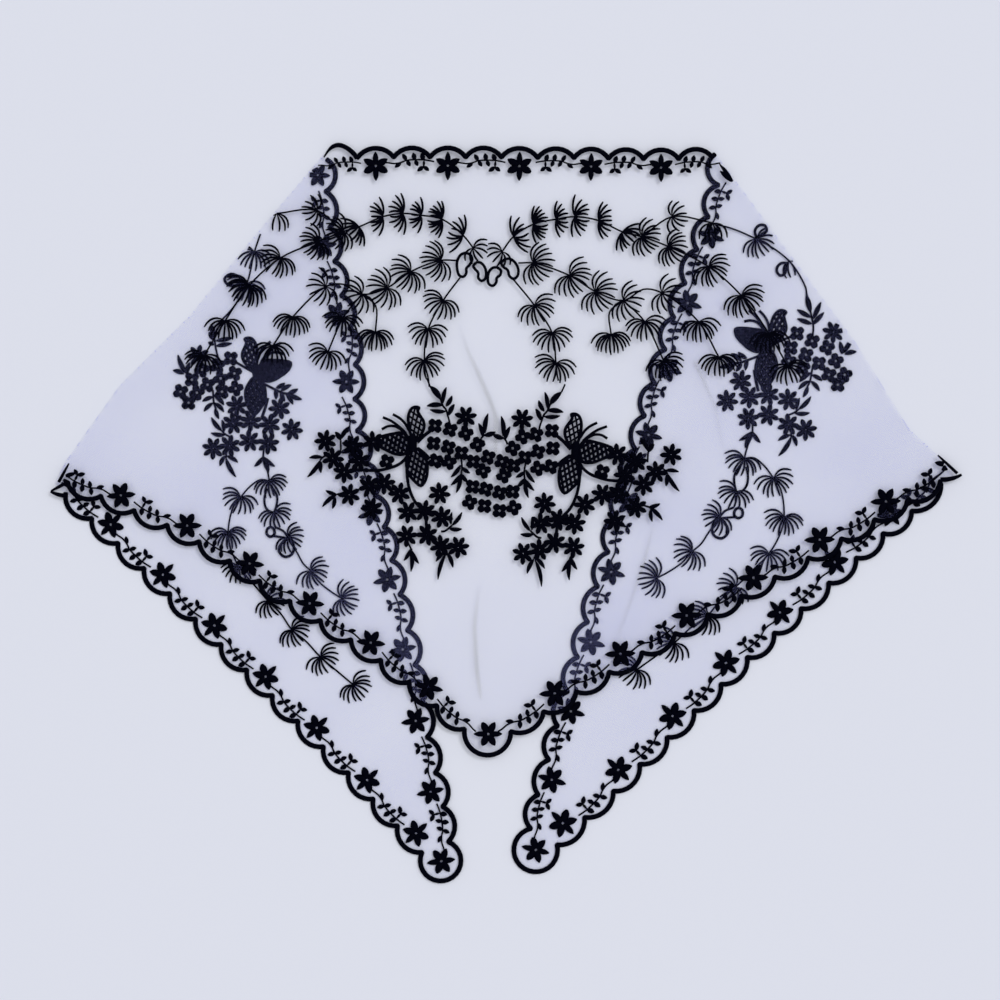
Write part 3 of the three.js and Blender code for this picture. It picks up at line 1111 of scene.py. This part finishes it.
@dataclass(frozen=True)
class ThreadFinish:
    """Satin thread: near-black navy with a soft sheen and fine ridges across the stitch."""

    colour: tuple = (0.0005, 0.0007, 0.0036, 1.0)
    roughness: float = 0.5
    gloss: float = 0.012
    pitch: float = 0.00045
    depth: float = 0.0001
    strength: float = 0.35

    def build(self) -> bpy.types.Material:
        """Builds the material.

        Returns:
            The material.
        """
        finish = bpy.data.materials.new("satin_thread")
        finish.use_nodes = True
        tree = finish.node_tree
        tree.nodes.clear()
        along = add(tree, "ShaderNodeAttribute", attribute_name="along").outputs["Fac"]
        turns = add(tree, "ShaderNodeMath", {0: along, 1: 2 * math.pi / self.pitch}, operation="MULTIPLY")
        ridge = add(tree, "ShaderNodeMath", {0: turns.outputs[0]}, operation="SINE")
        bump = add(
            tree,
            "ShaderNodeBump",
            {"Strength": self.strength, "Distance": self.depth, "Height": ridge.outputs[0]},
        )
        surface = add(
            tree,
            "ShaderNodeBsdfPrincipled",
            {
                "Base Color": self.colour,
                "Roughness": self.roughness,
                "Specular IOR Level": self.gloss,
                "Normal": bump.outputs[0],
            },
        )
        add(tree, "ShaderNodeOutputMaterial", {"Surface": surface.outputs[0]})
        return finish


@dataclass(frozen=True)
class NetFinish:
    """Fine net: six-sided holes between thin threads, drawn thicker where painted shade darkens it.

    Along the creases its threads are tinted grey: painted shade of the folds.
    """

    colour: tuple = (0.31, 0.33, 0.75, 1.0)
    # Grey painted shade of the crease folds
    shade: tuple = (0.1, 0.105, 0.13, 1.0)
    roughness: float = 0.7
    gloss: float = 0.1
    cell: float = 0.0014
    thread: float = 0.000021

    def mask(self) -> bpy.types.NodeTree:
        """Node group that gives 1 on a thread of the net and 0 in a hole.

        Returns:
            The node group.
        """
        tree = bpy.data.node_groups.new("net_mask", "ShaderNodeTree")
        tree.interface.new_socket(name="Flat", in_out="INPUT", socket_type="NodeSocketVector")
        tree.interface.new_socket(name="Cell", in_out="INPUT", socket_type="NodeSocketFloat")
        tree.interface.new_socket(name="Thread", in_out="INPUT", socket_type="NodeSocketFloat")
        tree.interface.new_socket(name="Mask", in_out="OUTPUT", socket_type="NodeSocketFloat")
        given = add(tree, "NodeGroupInput").outputs
        half = (0.5, math.sqrt(3) / 2, 0.5)
        inverse = add(tree, "ShaderNodeMath", {0: 1.0, 1: given["Cell"]}, operation="DIVIDE")
        cells = add(
            tree,
            "ShaderNodeVectorMath",
            {0: given["Flat"], "Scale": inverse.outputs[0]},
            operation="SCALE",
        )
        shifted = add(tree, "ShaderNodeVectorMath", {0: cells.outputs[0], 1: half}, operation="SUBTRACT")
        near = []
        for source in (cells, shifted):
            wrapped = add(
                tree,
                "ShaderNodeVectorMath",
                {0: source.outputs[0], 1: half, 2: tuple(-h for h in half)},
                operation="WRAP",
            )
            folded = add(tree, "ShaderNodeVectorMath", {0: wrapped.outputs[0]}, operation="ABSOLUTE")
            apart = add(tree, "ShaderNodeSeparateXYZ", {0: folded.outputs[0]})
            slant = add(
                tree,
                "ShaderNodeVectorMath",
                {0: folded.outputs[0], 1: (0.5, math.sqrt(3) / 2, 0.0)},
                operation="DOT_PRODUCT",
            )
            near.append(
                add(
                    tree,
                    "ShaderNodeMath",
                    {0: apart.outputs["X"], 1: slant.outputs["Value"]},
                    operation="MAXIMUM",
                )
            )
        middle = add(
            tree, "ShaderNodeMath", {0: near[0].outputs[0], 1: near[1].outputs[0]}, operation="MINIMUM"
        )
        share = add(
            tree, "ShaderNodeMath", {0: given["Thread"], 1: inverse.outputs[0]}, operation="MULTIPLY"
        )
        limit = add(
            tree, "ShaderNodeMath", {0: share.outputs[0], 1: -0.5, 2: 0.5}, operation="MULTIPLY_ADD"
        )
        mask = add(
            tree, "ShaderNodeMath", {0: middle.outputs[0], 1: limit.outputs[0]}, operation="GREATER_THAN"
        )
        add(tree, "NodeGroupOutput", {"Mask": mask.outputs[0]})
        return tree

    def build(self) -> bpy.types.Material:
        """Builds the material.

        Returns:
            The material.
        """
        finish = bpy.data.materials.new("fine_net")
        finish.use_nodes = True
        tree = finish.node_tree
        tree.nodes.clear()
        flat = add(tree, "ShaderNodeUVMap", uv_map="flat").outputs[0]
        mask = add(tree, "ShaderNodeGroup", node_tree=self.mask())
        tree.links.new(flat, mask.inputs["Flat"])
        mask.inputs["Cell"].default_value = self.cell
        # Thread density from the mesh, which carries painted shade of the ends, turns, creases and ripples
        share = add(tree, "ShaderNodeAttribute", attribute_name="density_and_painted_shade").outputs["Fac"]
        thread = add(tree, "ShaderNodeMath", {0: share, 1: self.thread}, operation="MULTIPLY")
        tree.links.new(thread.outputs[0], mask.inputs["Thread"])
        # Grey painted shade mixed into the thread colour along the creases
        painted_crease_shade = add(tree, "ShaderNodeAttribute", attribute_name="painted_crease_shade").outputs["Fac"]
        tint = add(tree, "ShaderNodeMix", {0: painted_crease_shade, 6: self.colour, 7: self.shade}, data_type="RGBA")
        surface = add(
            tree,
            "ShaderNodeBsdfPrincipled",
            {
                "Base Color": tint.outputs[2],
                "Roughness": self.roughness,
                "Specular IOR Level": self.gloss,
                "Alpha": mask.outputs["Mask"],
            },
        )
        add(tree, "ShaderNodeOutputMaterial", {"Surface": surface.outputs[0]})
        return finish


@dataclass(frozen=True)
class Stage:
    """Pale floor, soft light from above and a camera that looks straight down."""

    floor_colour: tuple = (0.701, 0.723, 0.815, 1.0)
    floor_roughness: float = 0.9
    floor_half: float = 6.0
    floor_height: float = -0.0004
    sky: float = 0.8
    sun: float = 0.85
    sun_spread: float = 22.0
    sun_way: tuple = (-0.6, -0.55, -1.0)
    eye: tuple = (-5.0, 11.6)
    distance: float = 1.8
    field_width: float = 0.8

    def build(self) -> None:
        """Builds floor, light and camera."""
        scene = bpy.context.scene
        scene.view_settings.view_transform = "Standard"
        surface = bpy.data.materials.new("floor")
        surface.use_nodes = True
        shader = surface.node_tree.nodes["Principled BSDF"]
        shader.inputs["Base Color"].default_value = self.floor_colour
        shader.inputs["Roughness"].default_value = self.floor_roughness
        mesh = bpy.data.meshes.new("floor")
        half = self.floor_half
        corners = [(-half, -half, 0), (half, -half, 0), (half, half, 0), (-half, half, 0)]
        mesh.from_pydata(corners, [], [(0, 1, 2, 3)])
        mesh.materials.append(surface)
        floor = bpy.data.objects.new("floor", mesh)
        floor.location.z = self.floor_height
        scene.collection.objects.link(floor)
        world = bpy.data.worlds.new("sky")
        world.use_nodes = True
        world.node_tree.nodes["Background"].inputs["Color"].default_value = (1.0, 1.0, 1.0, 1.0)
        world.node_tree.nodes["Background"].inputs["Strength"].default_value = self.sky
        scene.world = world
        lamp = bpy.data.lights.new("sun", "SUN")
        lamp.energy = self.sun
        lamp.angle = math.radians(self.sun_spread)
        light = bpy.data.objects.new("sun", lamp)
        light.rotation_euler = Vector(self.sun_way).to_track_quat("-Z", "Y").to_euler()
        scene.collection.objects.link(light)
        lens = bpy.data.cameras.new("camera")
        lens.sensor_width = 36.0
        lens.lens = lens.sensor_width * self.distance / self.field_width
        camera = bpy.data.objects.new("camera", lens)
        camera.location = (self.eye[0] * MM, self.eye[1] * MM, self.distance)
        scene.collection.objects.link(camera)
        scene.camera = camera


# Tapered ends of the satin edge at both corners: base, tip, half width, bow
CORNER_SPIKES = (
    ((-350, 26), (-363, 19), 1.5, 0.0),
    ((-351, 15), (-363.5, 18.5), 1.8, 0.05),
    ((-357, 26), (-348.8, 41), 1.3, 0.0),
    ((347, 28), (364, 32), 2.0, -0.07),
    ((360.5, 33), (345, 47.5), 1.3, 0.0),
)

# Last scallop of the top edge, drawn out thin over the left fold: x, y, half width
TOP_LAST = (
    (-118.7, 284.5, 1.9), (-121.5, 288.4, 2.0), (-127.5, 293.2, 1.9), (-133.5, 295.2, 1.9),
    (-138, 294, 1.7), (-141.5, 291, 1.1), (-145.2, 285.5, 0.6),
)

# Petals of flowers that a fold cuts, by edge: half width, base, tip
FOLDED_PETALS = {
    "top": (
        (1.9, (180.5, 266.5), (171, 274.5)),
        (1.3, (181, 266), (170, 281)),
        (1.3, (181, 266), (173.5, 278)),
    ),
    "left_leg": (
        (1.7, (-351.5, 31), (-343.5, 33.2)),
        (1.5, (-353.5, 28), (-348, 25)),
    ),
    "right_leg": (
        (2.1, (351.5, 40), (342.5, 41.7)),
        (2.2, (354.5, 39.5), (348, 35.5)),
        (1.7, (353, 40), (358.5, 34.5)),
    ),
}

# Charts of the left half, mirrored for the right. Tufts: x, y, heading, reach, spread, count, inner
PANEL_VINES = (
    ((-26, 213, -45, 12.5, 75, 7), (-34, 223, 158, 17, 71, 8, 0.64), (-51, 236, 176, 15, 84, 12, 0.72),
     (-67.5, 239, 174, 14, 82, 9, 0.62), (-82, 240.5, 184, 16.6, 90, 10, 0.64),
     (-98, 238, 180, 15.6, 77, 9, 0.64), (-117, 230, 222, 16, 64, 9, 0.72), (-130, 226, 200, 15.5, 95, 12),
     (-150, 218, 207, 15.5, 92, 12), (-180, 205, 232, 16.5, 86, 12), (-205, 183, 238, 18, 80, 13),
     (-224, 155, 265, 17, 66, 11), (-241, 127, 255, 16, 80, 11)),
    ((-130, 226), (-151, 243, 180, 13, 92, 8), (-183, 240.5, 268, 15.5, 42, 6)),
    ((-39, 203), (-52, 203, 197, 17.5, 92, 12), (-76, 194, 220, 17.5, 91, 12),
     (-95, 181, 206, 17.5, 104, 12), (-115, 176, 207, 16.5, 95, 10), (-130, 184),
     (-144, 182, 205, 16, 95, 9), (-170, 158, 261, 17, 68, 11), (-186, 135, 268, 16.5, 74, 11)),
    ((-115, 176), (-104, 167), (-104, 146, 266, 16.5, 68, 12)),
    ((-115, 176), (-130, 157, 262, 16, 85, 11), (-142, 130, 246, 16, 82, 11)),
    ((-36, 190), (-50, 171, 238, 16.5, 86, 11), (-62, 148, 264, 16, 90, 11), (-65, 123, 286, 16.5, 92, 12),
     (-62, 109), (-61, 102)),
)
RIGHT_ROOTS = (
    ((-3, 210), (6, 222), (22, 232), (40, 236), (55, 238), (74, 235), (93, 226), (109, 222), (130, 214),
     (162, 198), (188, 175), (210, 145), (225, 119)),
    ((109, 222), (133, 238), (165, 233)),
    ((10, 201), (22, 201), (51, 191), (72, 178), (94, 171), (110, 180), (125, 177), (154, 154), (170, 126)),
    ((94, 171), (83, 162), (84, 144)),
    ((94, 171), (111, 154), (126, 123)),
    ((6, 188), (23, 167), (37, 145), (40, 121), (41, 112), (42, 107)),
)
# Loops: points that each runs through
LEFT_LOOPS = (
    ((-32, 209.2), (-28.4, 207.6), (-26.8, 204), (-28.8, 199.6), (-31.4, 196.8), (-31.6, 192.8), (-34, 190),
     (-37.2, 191.2), (-38.8, 196), (-38.8, 202.4), (-36, 207.6)),
    ((-23.2, 201.6), (-20, 201.2), (-16.8, 197.6), (-15.6, 192), (-16.8, 188), (-19.6, 186.8), (-22, 189.2),
     (-22, 193.2), (-24.4, 196), (-26, 198.8)),
)
RIGHT_LOOPS = (
    ((-7.2, 197.6), (-4, 195.2), (-4.4, 191.6), (-7.2, 189.2), (-7.6, 185.6), (-10.4, 182.8),
     (-13.6, 184.4), (-14.4, 189.2), (-13.2, 194.4), (-10.4, 197.2)),
    ((-0.8, 204), (3.2, 204.4), (7.2, 201.6), (10, 196), (9.2, 190.4), (6, 188.4), (2.8, 190.8),
     (1.6, 195.2), (-2, 198), (-3.6, 201.2)),
)
END_VINES = (
    ((-194, 45), (-191, 37), (-189, 27, 290, 14.5, 82, 11)),
    ((-189, 27), (-196, 28), (-204, 23), (-212, 14, 245, 15, 92, 11), (-218, 6),
     (-222, -14, 275, 15, 90, 12), (-220, -27), (-213, -42, 275, 14.5, 95, 11), (-203, -54),
     (-190, -69, 325, 14.5, 100, 11), (-180, -79), (-171, -92, 317, 15, 90, 11), (-160, -101),
     (-148, -114, 315, 15, 92, 11), (-135, -125), (-122, -136, 315, 15, 92, 11)),
    ((-185, 2, 293, 14, 93, 11), (-185, -5)),
    ((-174, -18, 323, 13.5, 98, 11), (-167, -30), (-162, -39), (-156, -45, 318, 15, 92, 11),
     (-149, -54), (-139, -62), (-131, -67, 345, 15, 98, 12)),
)
END_LINKS = (
    ((-191, 21), (-193, 13), (-192, 6), (-188, 2), (-185, 2)),
    ((-188, 24), (-183, 15), (-183, 9), (-185, 2)),
    ((-184, -10), (-178, -13), (-174, -18)),
    ((-186, -17), (-179, -18), (-174, -19)),
)
END_LOOPS = (
    ((-188, -9.6), (-185.4, -11.6), (-185, -15.6), (-188, -17.6), (-191, -15.6), (-190.6, -11.4)),
    ((-173, -17.5), (-180, -24), (-181.4, -29), (-177, -33.6), (-171.4, -32), (-169.4, -27.4),
     (-171, -20.5)),
)
LEFT_OWN = (
    ((-195, 228), (-201, 210, 255, 15.5, 85, 11), (-207, 185, 255, 16, 85, 11), (-217, 167), (-234, 149)),
)
LEFT_RINGS = (((-213, 190.5), (-220, 192.5), (-225, 188.5), (-221.5, 183.5), (-213, 184.5)),)
RIGHT_OWN = (
    (
        (165, 233), (183, 228), (201, 220, 312, 15.5, 88, 11), (214, 213), (226.5, 203, 286, 14, 26, 4),
        (234, 193), (240, 181), (240.5, 176),
    ),
)
RIGHT_RINGS = (
    (
        (200.6, 220.6), (199.2, 227.2), (202.6, 231.4), (207.2, 231.2), (208.6, 227.2), (205.4, 224),
        (201.8, 221.4),
    ),
    ((225.8, 201), (220.5, 201.2), (217, 197.8), (217, 193.8), (219.8, 191.2), (223.2, 193), (224, 197.3)),
)
LIES = {
    "right_vines": Lie(-1, 1.03),
    "right_end_vines": Lie(-1, 1.076, -4.6, (-199, 115), (209, 138.5)),
    "left_bouquet": Lie(at=(-75, 57)),
    "right_bouquet": Lie(-1, 1.01, -3.5, (0, 0), (56.2, 51)),
    "left_end_bouquet": Lie(at=(-199, 115)),
    "right_end_bouquet": Lie(-1, 1.05, -6.2, (0, 0), (210.3, 137.5)),
    "left_end_butterfly": Lie(-1, 0.97, 9, (0, 0), (-199, 114)),
    "right_end_butterfly": Lie(1, 1.0, -18, (0, 0), (210, 136.5)),
}
# Flowers of the bouquets, where they lie
LEFT_FLOWERS = {
    "daisies": (
        (-32, 78), (-144, 59), (-138, 45), (-129, 34), (-125, 16), (-106, 58), (-122, 55), (-117, 43),
        (-109, 23), (-97, 25), (-85, 17), (-53, 17), (-78, 2), (-65, 3), (-51, -2), (-79, -17), (-63, -16),
        (-52, -25), (-38, -26), (-107, 5),
    ),
    "blossoms": (
        (-56.5, 71), (-44.5, 68), (-32, 65), (-57.6, 57), (-46, 54), (-22.6, 56), (-35.4, 49.3),
        (-56, 43), (-45.4, 42), (-26, 42.4), (-14.2, 46), (-18, 35), (-26.5, 22.4), (-16, 20.4),
        (-28.8, 10), (-17, 7), (-95, 42.4),
    ),
}
RIGHT_FLOWERS = {
    "daisies": (
        (13, 76), (132, 48), (120, 34), (110, 24), (104, 6), (89, 48), (104, 42), (95, 32), (90, 17),
        (77, 16), (63, 8), (31, 9), (55, -7), (42, -4), (28, -7), (54, -26), (39, -22), (27, -28),
        (14, -31), (87, -5),
    ),
    "blossoms": (
        (36.8, 67), (24, 64), (13.6, 62.4), (37.6, 53), (25.6, 50.4), (5.6, 53), (15.2, 45.6), (36, 38.4),
        (25.6, 37), (6.4, 39.2), (-3.2, 42.4), (-1.6, 31.2), (5.6, 18.4), (-5, 17.6), (6.4, 5.6), (-5, 3.2),
        (77, 34.4),
    ),
}
LEFT_END_FLOWERS = {
    "daisies": (
        (-215, 87), (-181, 85), (-218, 73), (-204, 75), (-189, 72), (-171, 68), (-234, 53), (-221, 55),
        (-205, 59), (-190, 57), (-246, 127),
    ),
    "blossoms": (
        (-220, 125), (-217, 113), (-228, 109), (-251, 108), (-238.5, 104), (-216, 101), (-227, 98.4),
        (-260, 98.4), (-247, 97.6), (-253.6, 89.6), (-230.4, 119), (-243, 116),
    ),
    "own_leaves": (
        (1.9, (-231.8, 135), (-219, 137)), (1.9, (-231.8, 139), (-218.2, 141.4)),
        (1.7, (-233.4, 135.8), (-238, 138)), (1.8, (-234.2, 139.8), (-237.4, 146.2)),
        (2.2, (-233.4, 142.2), (-235.8, 152.6)),
    ),
    "own_stems": ((0.8, (-229.4, 123), (-231.8, 132.6), (-232.6, 138.2), (-234.2, 147)),),
}
RIGHT_END_FLOWERS = {
    "daisies": (
        (262, 146), (188, 107), (177, 91), (195, 94), (210, 96), (226, 92), (194, 77), (210, 80), (226, 72),
        (240, 68),
    ),
    "blossoms": (
        (233, 145), (245, 139), (257, 133.6), (228, 133.6), (240, 128), (264, 123), (250.4, 121),
        (258.4, 112), (271, 112), (265.6, 104), (237.6, 117), (226.4, 123),
    ),
    "own_leaves": (
        (2.3, (243.8, 161.8), (240.4, 176)), (2.0, (245.8, 156.6), (252, 170)),
        (2.0, (245.4, 152), (254.4, 161.8)), (2.0, (243.8, 157.8), (233, 164)),
        (2.0, (244.6, 152.6), (233, 156.8)),
    ),
    "own_stems": ((0.8, (240.5, 177), (243.8, 161.8), (246, 150), (245.4, 143)),),
}
# Their leaves and stems, from the body of the butterfly: half width, then points
PANEL_SPRAYS = {
    "leaves": (
        (2.5, (22.8, 35.2), (14.4, 45.6)), (1.8, (24.8, 32), (27.6, 44.8)), (1.9, (27.2, 29.6), (32, 38)),
        (2.0, (29.6, 22.4), (34, 31.2)), (2.1, (24.8, 30.4), (12, 29.8)), (1.8, (27.2, 25.6), (14.4, 26.9)),
        (1.9, (56.8, 4.8), (53.2, 16)), (2.0, (58.4, 8), (60.8, 23.7)), (2.1, (57.6, 6.4), (66.7, 9.1)),
        (1.8, (38.9, -17.3), (31.2, -27)), (1.7, (40, -18.9), (46.4, -23.8)),
        (1.7, (38.9, -24.8), (31.2, -33.4)), (1.8, (39.4, -24.2), (44.8, -31.2)),
        (1.8, (38.9, -25.4), (35.4, -39.4)), (1.7, (32, -65.6), (40, -55)), (1.5, (31.2, -64.8), (32, -55)),
        (1.8, (29.6, -68), (40, -68.4)), (1.7, (-0.8, -84), (-6.4, -93.6)), (1.7, (0, -85.6), (5.6, -96)),
        (1.8, (-0.8, -85.6), (-0.8, -102.4)), (1.7, (27.2, -86), (19.2, -94.4)),
        (1.8, (28, -87.2), (32.8, -99.2)), (1.7, (27.2, -88), (20.8, -108.8)),
        (1.7, (-60, -40.8), (-68.8, -37.6)), (1.8, (-60, -40.8), (-71.4, -50.6)),
        (1.7, (-61.6, -42.4), (-63.4, -52.2)), (2.1, (-56.8, 2.4), (-61.2, 9.1)),
        (1.9, (-56.8, 3.2), (-49.6, 13.6)), (1.7, (-71.2, -11.2), (-82, -11.6)),
        (1.8, (-73.2, -13.6), (-83.4, -27)), (1.8, (-72.4, -14.4), (-72.6, -23.6)),
    ),
    "stems": (
        (1.25, (-3.2, -9.6), (-4, -17.6), (-3.6, -28), (-1.6, -37.6), (2.4, -46.4), (7.2, -52)),
        (1.25, (-2.4, -8), (-6.4, -13.6), (-12, -17.6), (-19.2, -20), (-27.2, -21.6), (-46, -21)),
        (1.4, (4.4, 0.8), (9.6, 6), (16, 11)),
        (1.6, (4.4, -4), (9.6, -8), (14, -12.5)),
        (1.2, (-3, -54), (11, -53), (24, -59)),
        (1.0, (12, -73), (23, -82), (37, -82)),
        (1.3, (11, -53), (12, -73)),
        (0.8, (30.4, 11.2), (30, 17), (28.8, 21.6), (27.2, 26.9), (24.8, 30), (22.8, 35.5)),
        (0.7, (14.4, 45.6), (12, 52)),
        (0.8, (54.4, 1.6), (56, 4.8), (58.4, 7.2)),
        (0.8, (39.2, -11), (40, -19.2), (39.2, -25.6)),
        (0.9, (23.2, -70.4), (26.4, -70), (32, -65.6)),
        (0.8, (-4, -77.6), (0, -85.6)),
        (0.8, (26.4, -81.6), (28, -87.2)),
        (0.8, (-53.6, -39.2), (-60, -40.8)),
        (0.8, (-56.8, 2.4), (-56.8, -5.6)),
        (0.8, (-65.6, -8), (-71.2, -11.2), (-73.2, -13.6)),
    ),
}
END_SPRAYS = {
    "leaves": (
        (1.9, (15.2, -13.6), (22.4, -9.6)), (1.9, (19.2, -16), (27.6, -11.2)),
        (1.9, (24.8, -17.6), (32.8, -14.4)), (1.8, (14.4, -14.4), (15.2, -22.8)),
        (1.9, (19.2, -16.8), (22.4, -24.4)), (1.9, (23.2, -18.4), (28.8, -26.8)),
        (2.0, (25.6, -18.4), (36, -22.8)), (2.0, (-56, -2.4), (-63.2, 12.8)),
        (2.0, (-58.4, -2.4), (-67.2, 0.4)), (2.0, (-56, -2.4), (-53.6, 6.8)),
        (1.8, (-35.2, -20.8), (-43.6, -24.4)), (2.0, (-34.4, -19.2), (-26.4, -27.2)),
        (1.8, (-35.2, -25.6), (-42.4, -32.4)), (1.8, (-33.6, -25.6), (-26.4, -32.8)),
        (1.8, (-33.2, -29.6), (-30.4, -38.4)), (1.9, (-28, -48), (-36.4, -37.2)),
        (1.7, (-26.4, -48.8), (-28, -39.2)), (1.8, (-25.6, -51.2), (-36.8, -49.6)),
        (1.8, (-25.6, -68), (-29.6, -76)), (1.8, (-24, -68), (-15.2, -73.2)),
        (1.9, (-24.8, -69.6), (-16.8, -84.8)), (1.8, (4.8, -68.8), (-2, -76.4)),
        (1.8, (5.6, -68.8), (14.4, -76.4)), (2.1, (4.8, -70.4), (9.2, -81.6)),
    ),
    "stems": (
        (1.2, (8.8, -21.6), (6.4, -30.4), (3.8, -37.6)),
        (1.0, (1.6, -8), (10.4, -12.8), (20.8, -17.6), (26.4, -18.4)),
        (1.0, (-3, -1), (-10, 3), (-17, 7)),
        (0.8, (-35.2, -15.2), (-34.4, -25.6), (-32.8, -30.4)),
        (0.8, (-20, -53.6), (-25.6, -50.4), (-28, -48)),
        (0.8, (-24, -62), (-24.8, -69.6)),
        (0.8, (5.6, -62), (4.8, -70.4)),
    ),
}
# Wings: half width of the lattice's lines, then the outline from the body round the tip
WINGS = (
    (0.8, (1.6, 1.6), (-1.6, 9), (-2.9, 18.5), (-2.3, 24), (-0.2, 27.8), (2.4, 29), (5.7, 28.5),
     (4.7, 25.8), (6.6, 22), (9.1, 18), (9.9, 14.2), (8.8, 9.8), (5, 3.4)),
    (1.1, (-1.6, -2.4), (-2.4, 4), (-8, 8.4), (-15.2, 7.6), (-22.4, 6), (-28.8, 3.2), (-25.6, -2.4),
     (-20, -5.6), (-13.6, -8.4), (-7.2, -8.8), (-3.2, -6.4)),
    (1.0, (1.6, -3.2), (-3.2, -8), (-4.4, -16), (-2.8, -24), (1.6, -29.6), (7.2, -34), (10.8, -29.6),
     (12.4, -21.6), (11.6, -13.6), (8, -8), (4.8, -4.8)),
)
WING_LATTICE = ((77, 3.4), (-34, 4.0))  # way and pitch of its lines
FEELERS = (
    ((-2.4, 10.4), (-5.6, 16), (-9.6, 20), (-15.2, 23.2)),
    ((-4.8, 8), (-9.6, 12.8), (-16, 17.6), (-23.2, 20.8)),
    ((-4, 6.4), (-8, 10.4), (-13.6, 13.6), (-19.2, 13.6), (-24, 11.2)),
)


def round_tip(tip: str) -> dict:
    """Edges and rise of the satin band round a tip."""
    before, after, rise = TIPS[tip]
    return {"edges": (EDGES[before], EDGES[after]), "tip_rise": rise}


# Embroidered pieces: kind, the solid that each takes the place of, and what is its own
END_VINE_CHARTS = {"vines": END_VINES, "loops": END_LOOPS, "links": END_LINKS}
RIGHT_VINE_CHARTS = {"vines": PANEL_VINES, "roots": RIGHT_ROOTS, "loops": RIGHT_LOOPS}
CHART = [
    (SatinEdge, "top_satin_edge", {"edges": (EDGES["top"],), "last": TOP_LAST}),
    (SatinEdge, "legs_satin_edge", {**round_tip("panel"), "spikes": CORNER_SPIKES}),
    (SatinEdge, "left_end_satin_edge", round_tip("left")),
    (SatinEdge, "right_end_satin_edge", round_tip("right")),
    (TipFlower, "panel_tip_flower", {"centre": (-14, -175), "lean": -90}),
    (TipFlower, "left_end_tip_flower", {"centre": (-51.5, -277), "lean": -82}),
    (TipFlower, "right_end_tip_flower", {"centre": (24, -268), "lean": -104}),
    (Vines, "left_panel_vines", {"vines": PANEL_VINES, "loops": LEFT_LOOPS}),
    (Vines, "right_panel_vines", {**RIGHT_VINE_CHARTS, "lie": LIES["right_vines"]}),
    (Vines, "left_end_vines", {**END_VINE_CHARTS, "own": LEFT_OWN, "rings": LEFT_RINGS}),
    (
        Vines,
        "right_end_vines",
        {**END_VINE_CHARTS, "own": RIGHT_OWN, "rings": RIGHT_RINGS, "lie": LIES["right_end_vines"]},
    ),
    (Bouquet, "left_bouquet", {**PANEL_SPRAYS, **LEFT_FLOWERS, "lie": LIES["left_bouquet"]}),
    (Bouquet, "right_bouquet", {**PANEL_SPRAYS, **RIGHT_FLOWERS, "lie": LIES["right_bouquet"]}),
    (Bouquet, "left_end_bouquet", {**END_SPRAYS, **LEFT_END_FLOWERS, "lie": LIES["left_end_bouquet"]}),
    (Bouquet, "right_end_bouquet", {**END_SPRAYS, **RIGHT_END_FLOWERS, "lie": LIES["right_end_bouquet"]}),
    (Butterfly, "left_butterfly", {"lie": LIES["left_bouquet"]}),
    (Butterfly, "right_butterfly", {"lie": LIES["right_bouquet"]}),
    (Butterfly, "left_end_butterfly", {"lie": LIES["left_end_butterfly"], "weight": 1.5}),
    (Butterfly, "right_end_butterfly", {"lie": LIES["right_end_butterfly"], "weight": 1.5}),
    *(
        (Garland, name + "_garland", {"edge": edge, "folded": FOLDED_PETALS.get(name, ())})
        for name, edge in EDGES.items()
    ),
]


def main() -> None:
    """Builds the embroidery, the net and the stage, and reports the net's faces."""
    logging.basicConfig(level=logging.INFO, format="%(message)s")
    thread = ThreadFinish().build()
    sweep = sweep_tree()
    for kind, name, own in CHART:
        layer = Layer.ENDS if "_end_" in name else Layer.PANEL
        kind(name, layer, thread, sweep, **own).build()
    net = NetGround(NetFinish().build()).build()
    LOG.info("%s: %d faces", net.name, len(net.data.polygons))
    Stage().build()


if __name__ == "__main__":
    main()
